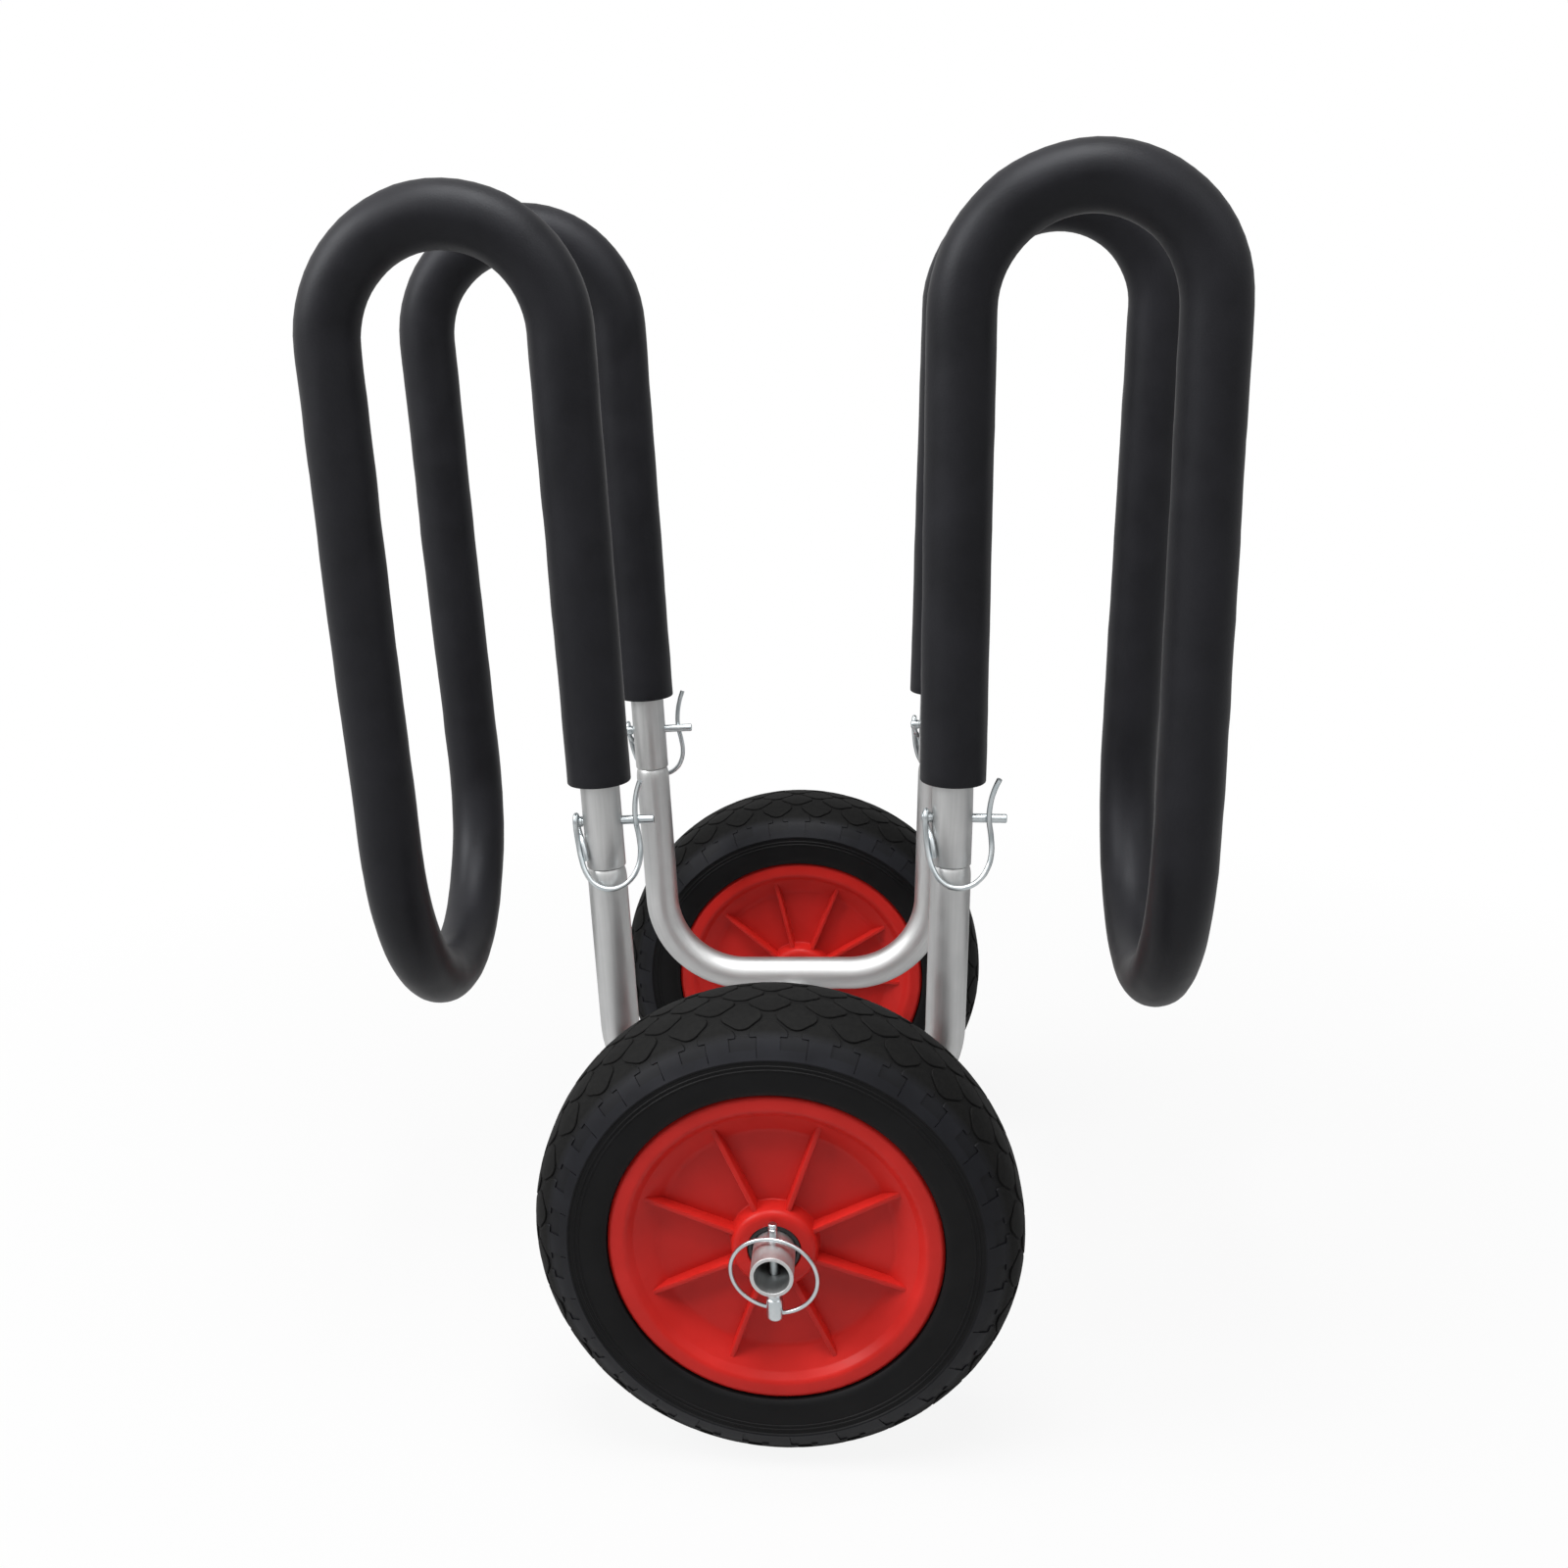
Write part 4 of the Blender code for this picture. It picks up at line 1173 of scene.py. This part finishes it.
# %% The arm's place on the cart
NEAR_PULL = 0.0038
HOOK_PULL = 0.0018
FAR_PUSH = 0.0010
LOOP_PULL = 0.0034
SAG_TOP = 0.45


def pull_in(piece, side):
    """Pull an arm a few millimetres out of true, as hand-bent arms stand a little twisted."""
    for vertex in piece.data.vertices:
        rise = clamp((vertex.co.z - PIN_HEIGHT) / HOOK_HEIGHT)
        fall = clamp((SAG_TOP - vertex.co.z) / (SAG_TOP - LOOP_LOWEST))
        leg_x = PIN_X + (vertex.co.z - PIN_HEIGHT) * math.tan(LEG_SPLAY)
        out = clamp((abs(vertex.co.x) - leg_x) / (2 * HOOK_RADIUS))
        near = clamp((FRAME_Y - vertex.co.y) / (2 * FRAME_Y))
        if side > 0:
            pull = NEAR_PULL * rise + HOOK_PULL * out
            vertex.co.x += FAR_PUSH * rise * (1 - near) - near * pull
        else:
            vertex.co.x += LOOP_PULL * fall * out


def lean_with_legs(piece, side):
    """Take a piece from the arm's own frame to its place on the cart."""
    piece.location = (side * PIN_X, 0, PIN_HEIGHT)
    piece.rotation_euler = (0, LEG_SPLAY, 0.0 if side > 0 else math.pi)
    pull_in(settle(piece), side)


# %% Saddle tubes
ARM_STEP = 0.03
ARM_EDGE = 0.0004


def make_saddle_tube(side_name, side):
    name = f"saddle_tube_{side_name}"
    tube = draw_arm(name, TUBE_RADIUS, TUBE_SIDES, ARM_END, ARM_END, ARM_STEP)
    add_wall(tube, TUBE_WALL)
    soften(tube, ARM_EDGE)
    for y in (-FRAME_Y, FRAME_Y):
        drill(tube, (0, y, 0), AXES["X"], CLIP_SHAFT_RADIUS + GAP, 2 * TUBE_RADIUS)
    lean_with_legs(tube, side)
    route = [(-FRAME_Y, ARM_END), (-FRAME_Y, HOOK_HEIGHT), (FRAME_Y, HOOK_HEIGHT), (FRAME_Y, ARM_END)]
    add_grain(tube, [leg_point(side, y, height) for y, height in route])
    dress(smooth(tube), aluminium, f"arm_tube_{side_name}", "cart_frame")


# %% Foam sleeves
PAD_END = 0.023
PAD_END_NEAR_RIGHT = 0.0208
PAD_RADIUS = 0.0179
PAD_WALL = 0.0065
PAD_EDGE = 0.0009
PAD_SIDES = 48
PAD_STEP = 0.0065
PAD_WAVES = 0.0009

foam_waves = bpy.data.textures.new("foam_waves", "CLOUDS")
foam_waves.noise_scale = 0.028
foam_waves.noise_depth = 2
waves = {"texture": foam_waves, "texture_coords": "LOCAL", "strength": PAD_WAVES, "mid_level": 0.5}


def make_foam_sleeve(side_name, side):
    near_end = PAD_END_NEAR_RIGHT if side > 0 else PAD_END
    pad = draw_arm(f"foam_pad_{side_name}", PAD_RADIUS, PAD_SIDES, near_end, PAD_END, PAD_STEP)
    lean_with_legs(pad, side)
    apply_modifier(pad, "DISPLACE", **waves)
    add_wall(pad, PAD_WALL)
    soften(pad, PAD_EDGE, 3)
    dress(smooth(pad, 50), foam, f"foam_sleeve_{side_name}", "cart_frame")


for side_name, side in LEFT_RIGHT.items():
    make_saddle_tube(side_name, side)
    make_foam_sleeve(side_name, side)

# %% [markdown]
# ## Clip pins
# Four clip pins lock the arms to the legs. A pin is a turned bar with a drilled head, and a
# spring wire hangs in the head: it bows down round the leg and snaps over the pin's tip. The
# wire bends in three directions, which spins would need many steps for. So it is a smooth
# curve through listed points, given its thickness by a bevel and made a mesh.

# %% Clip pins
CLIP_HINGE = 0.0144
CLIP_HEAD_RADIUS = 0.0030
CLIP_END = 0.0168
CLIP_TIP = TUBE_RADIUS + 0.018
CLIP_SIDES = 28
CLIP_WIRE = 0.0015


def clip_place(sign, side):
    """Where a clip pin's own frame stands: X along the pin, Z up the leg."""
    lean = Matrix.Rotation(side * LEG_SPLAY, 4, "Y")
    return Matrix.Translation((side * PIN_X, sign * FRAME_Y, PIN_HEIGHT)) @ lean


def make_clip_pin(where, place):
    """Corners are (radius, distance from the leg's axis, rounding), from the head to the tip."""
    head, shaft = CLIP_HEAD_RADIUS, CLIP_SHAFT_RADIUS
    corners = [
        (head - 0.0020, -CLIP_END, 0.0),
        (head, -CLIP_END, 0.0018),
        (head, -TUBE_RADIUS - GAP, 0.0004),
        (shaft, -TUBE_RADIUS - GAP, 0.0),
        (shaft, CLIP_TIP, 0.0007),
        (shaft - 0.0012, CLIP_TIP, 0.0),
    ]
    pin = turned(f"clip_bar_{where}", rounded(corners), (0, 0, 0), "X", CLIP_SIDES, closed=False)
    drill(pin, (-CLIP_HINGE, 0, 0), AXES["Z"], CLIP_WIRE + GAP, 2 * head)
    pin.matrix_world = place
    dress(smooth(settle(pin)), zinc, f"clip_pin_{where}", "cart_frame")


# %% A clip wire's route
CLIP_FLARE = 0.0043
CLIP_BOW_GAP = 3 * GAP
TIP_REACH = 0.0081


def wire_points(outward):
    """The wire's route along the pin, outward and up the leg, from its tail to its flared end."""
    leg = TUBE_RADIUS
    hinge = -CLIP_HINGE
    eye = CLIP_HEAD_RADIUS + CLIP_WIRE + GAP
    front = leg + CLIP_WIRE + CLIP_BOW_GAP
    tip = leg + TIP_REACH
    points = [
        (-0.0094, 0.0090, -0.0205),
        (-0.0102, 0.0078, -0.0150),
        (-0.0116, 0.0055, -0.0095),
        (hinge + 0.0008, 0.0012, -0.0050),
        (hinge, 0.0, -0.0015),
        (hinge, 0.0, 0.0022),
        (hinge, eye * 0.30, eye - 0.0006),
        (hinge - 0.0001, eye * 0.70, eye - 0.0007),
        (hinge - 0.0002, eye, eye * 0.45),
        (hinge - 0.0002, eye + 0.0003, -0.0030),
        (hinge + 0.0006, eye + 0.0016, -0.0110),
        (hinge + 0.0019, eye + 0.0038, -0.0190),
        (-leg + 0.0013, front * 0.84, -0.0268),
        (-leg * 0.45, front * 0.98, -0.0330),
        (0.0015, front + 0.0006, -0.0357),
        (leg * 0.75, front + 0.0002, -0.0352),
        (leg + 0.0038, front * 0.88, -0.0314),
        (tip - 0.0001, front * 0.72, -0.0254),
        (tip + 0.0018, front * 0.58, -0.0180),
        (tip + 0.0015, CLIP_FLARE + 0.0012, -0.0090),
        (tip + 0.0002, CLIP_FLARE, 0.0),
        (tip + 0.0004, CLIP_FLARE + 0.0005, 0.0085),
        (tip + 0.0022, CLIP_FLARE + 0.0018, 0.0175),
        (tip + 0.0046, CLIP_FLARE + 0.0032, 0.0240),
    ]
    return [Vector((along, outward * out, up)) for along, out, up in points]


# %% Clip wires
def make_clip_wire(where, place, outward):
    points = [place @ point for point in wire_points(outward)]
    bpy.ops.object.select_all(action="DESELECT")
    bpy.ops.curve.primitive_bezier_curve_add()
    wire = bpy.context.object
    wire.name = wire.data.name = f"clip_spring_{where}"
    spline = wire.data.splines[0]
    spline.bezier_points.add(len(points) - len(spline.bezier_points))
    for knot, point in zip(spline.bezier_points, points):
        knot.handle_left_type = knot.handle_right_type = "AUTO"
        knot.co = point
    wire.data.resolution_u = 6
    wire.data.bevel_depth = CLIP_WIRE
    wire.data.bevel_resolution = 4
    wire.data.use_fill_caps = True
    bpy.ops.object.convert(target="MESH")
    wire = bpy.context.object
    dress(smooth(wire, 50), zinc, f"clip_wire_{where}", f"wire_{where}")


for end, sign in NEAR_FAR.items():
    for side_name, side in LEFT_RIGHT.items():
        make_clip_pin(f"{end}_{side_name}", clip_place(sign, side))
        make_clip_wire(f"{end}_{side_name}", clip_place(sign, side), sign)

# %% [markdown]
# ## Floor and light
# The photograph has a white studio: no horizon, soft light from all sides and hardly a
# shadow. A floor lit to white would need lamps that wash out the cart. So the floor is a pale
# disc that glows towards white for the camera alone, and keeps the cart's shadow in its
# middle. Shiny metal mirrors the same white, but dimmed, so the tubes stay grey below.

# %% Floor
STAGE_RADIUS = 8.0
STAGE_SIDES = 96
FADE_START = 0.30
FADE_END = 1.0
FADE_LOW = 0.90
MIRRORED_FLOOR = 0.36

bpy.ops.object.select_all(action="DESELECT")
under_tyres = {"location": (0, 0, AXLE_Z - WHEEL_RADIUS), "fill_type": "NGON"}
bpy.ops.mesh.primitive_circle_add(vertices=STAGE_SIDES, radius=STAGE_RADIUS, **under_tyres)
floor = settle(bpy.context.object)
floor.name = "studio_floor"
paper, paper_shader = new_finish("studio_floor", specular=0.1)
paint(paper, paper_shader, (0.52, 0.52, 0.52, 1.0), 0.9)
away = add_node(paper, "ShaderNodeVectorMath", {0: here(paper)}, operation="LENGTH")
fade = between(paper, away.outputs["Value"], FADE_LOW, 1.0, FADE_START, FADE_END)
rays = add_node(paper, "ShaderNodeLightPath").outputs
mirrored_ray = calculate(paper, "MAXIMUM", rays["Is Glossy Ray"], rays["Is Transmission Ray"])
dimmed = calculate(paper, "MULTIPLY", mirrored_ray, MIRRORED_FLOOR)
seen = calculate(paper, "MAXIMUM", rays["Is Camera Ray"], dimmed)
glow = add_node(paper, "ShaderNodeEmission", {"Color": (1, 1, 1, 1), "Strength": 1.0})
blend = {0: calculate(paper, "MULTIPLY", seen, fade), 1: paper_shader.outputs[0], 2: glow.outputs[0]}
surface = add_node(paper, "ShaderNodeMixShader", blend).outputs[0]
feed(paper, paper.node_tree.nodes["Material Output"], {"Surface": surface})
floor.data.materials.append(paper)
floor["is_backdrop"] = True
print("floor height, mm:", round(1000 * (AXLE_Z - WHEEL_RADIUS), 2))

# %% [markdown]
# ### Surround and lamps
# The world is the room round the cart: white on the left, grey at the back and on the
# right, and on the camera's side dark below and bright above. An even white room would leave
# the tubes flat, but they mirror this one as the grey bands that make them look round. The
# camera sees plain white in its place. It lights the cart only faintly, and three softboxes
# do the rest: a strong one on the left, a strong one above, and a weak one on the right.

# %% Surround
SURROUND = 0.12
BACK, LEFT, RIGHT, LOW_FRONT, HIGH_FRONT = 0.70, 1.0, 0.55, 0.15, 1.5

world = bpy.data.worlds.new("studio")
bpy.context.scene.world = world
world.use_nodes = True
background = world.node_tree.nodes["Background"]
direction = add_node(world, "ShaderNodeTexCoord").outputs["Generated"]
towards = add_node(world, "ShaderNodeSeparateXYZ", {0: direction}).outputs


def grey(level):
    return (level, level, level)


def from_to(axis, start, stop, first, second):
    """Run from one colour to another as the direction's share of an axis grows."""
    return mix_colours(world, between(world, towards[axis], 0.0, 1.0, start, stop), first, second)


beside = from_to("X", -0.8, 0.0, grey(LEFT), grey(BACK))
beside = from_to("X", 0.0, 0.8, beside, grey(RIGHT))
front = from_to("Z", 0.05, 0.35, grey(LOW_FRONT), grey(HIGH_FRONT))
room = from_to("Y", -0.8, -0.2, front, beside)
rays = add_node(world, "ShaderNodeLightPath").outputs
colour = mix_colours(world, rays["Is Camera Ray"], room, grey(1.0))
seen = calculate(world, "MAXIMUM", rays["Is Camera Ray"], rays["Is Glossy Ray"])
seen = calculate(world, "MAXIMUM", seen, rays["Is Transmission Ray"])
strength = between(world, seen, SURROUND, 1.0, 0.0, 1.0)
feed(world, background, {"Color": colour, "Strength": strength})
print("strength of the surround as a light:", SURROUND)

# %% Softboxes
LAMP_TARGET = Vector((0, 0, 0.35))


def add_softbox(name, place, size, power):
    """A square lamp that faces the cart's middle."""
    bpy.ops.object.light_add(type="AREA", location=place)
    lamp = bpy.context.object
    lamp.name = name
    lamp.data.shape = "SQUARE"
    lamp.data.size = size
    lamp.data.energy = power
    aim = LAMP_TARGET - Vector(place)
    lamp.rotation_euler = aim.to_track_quat("-Z", "Y").to_euler()
    print(name, "watts:", power)


add_softbox("softbox_left", (-2.1, -0.9, 2.0), 1.4, 68)
add_softbox("softbox_right", (1.9, -0.9, 1.8), 1.4, 8)
add_softbox("softbox_top", (0.0, -0.6, 2.6), 1.5, 72)
bpy.context.scene.view_settings.view_transform = "Standard"

# %% [markdown]
# ## Sizes, and the end
# The dressed cart has to keep the frame's size, so its box is printed at the end.

# %% Sizes and finish
low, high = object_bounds()
print("visual box, mm:", [round(1000 * value, 1) for value in (*low, *high)])
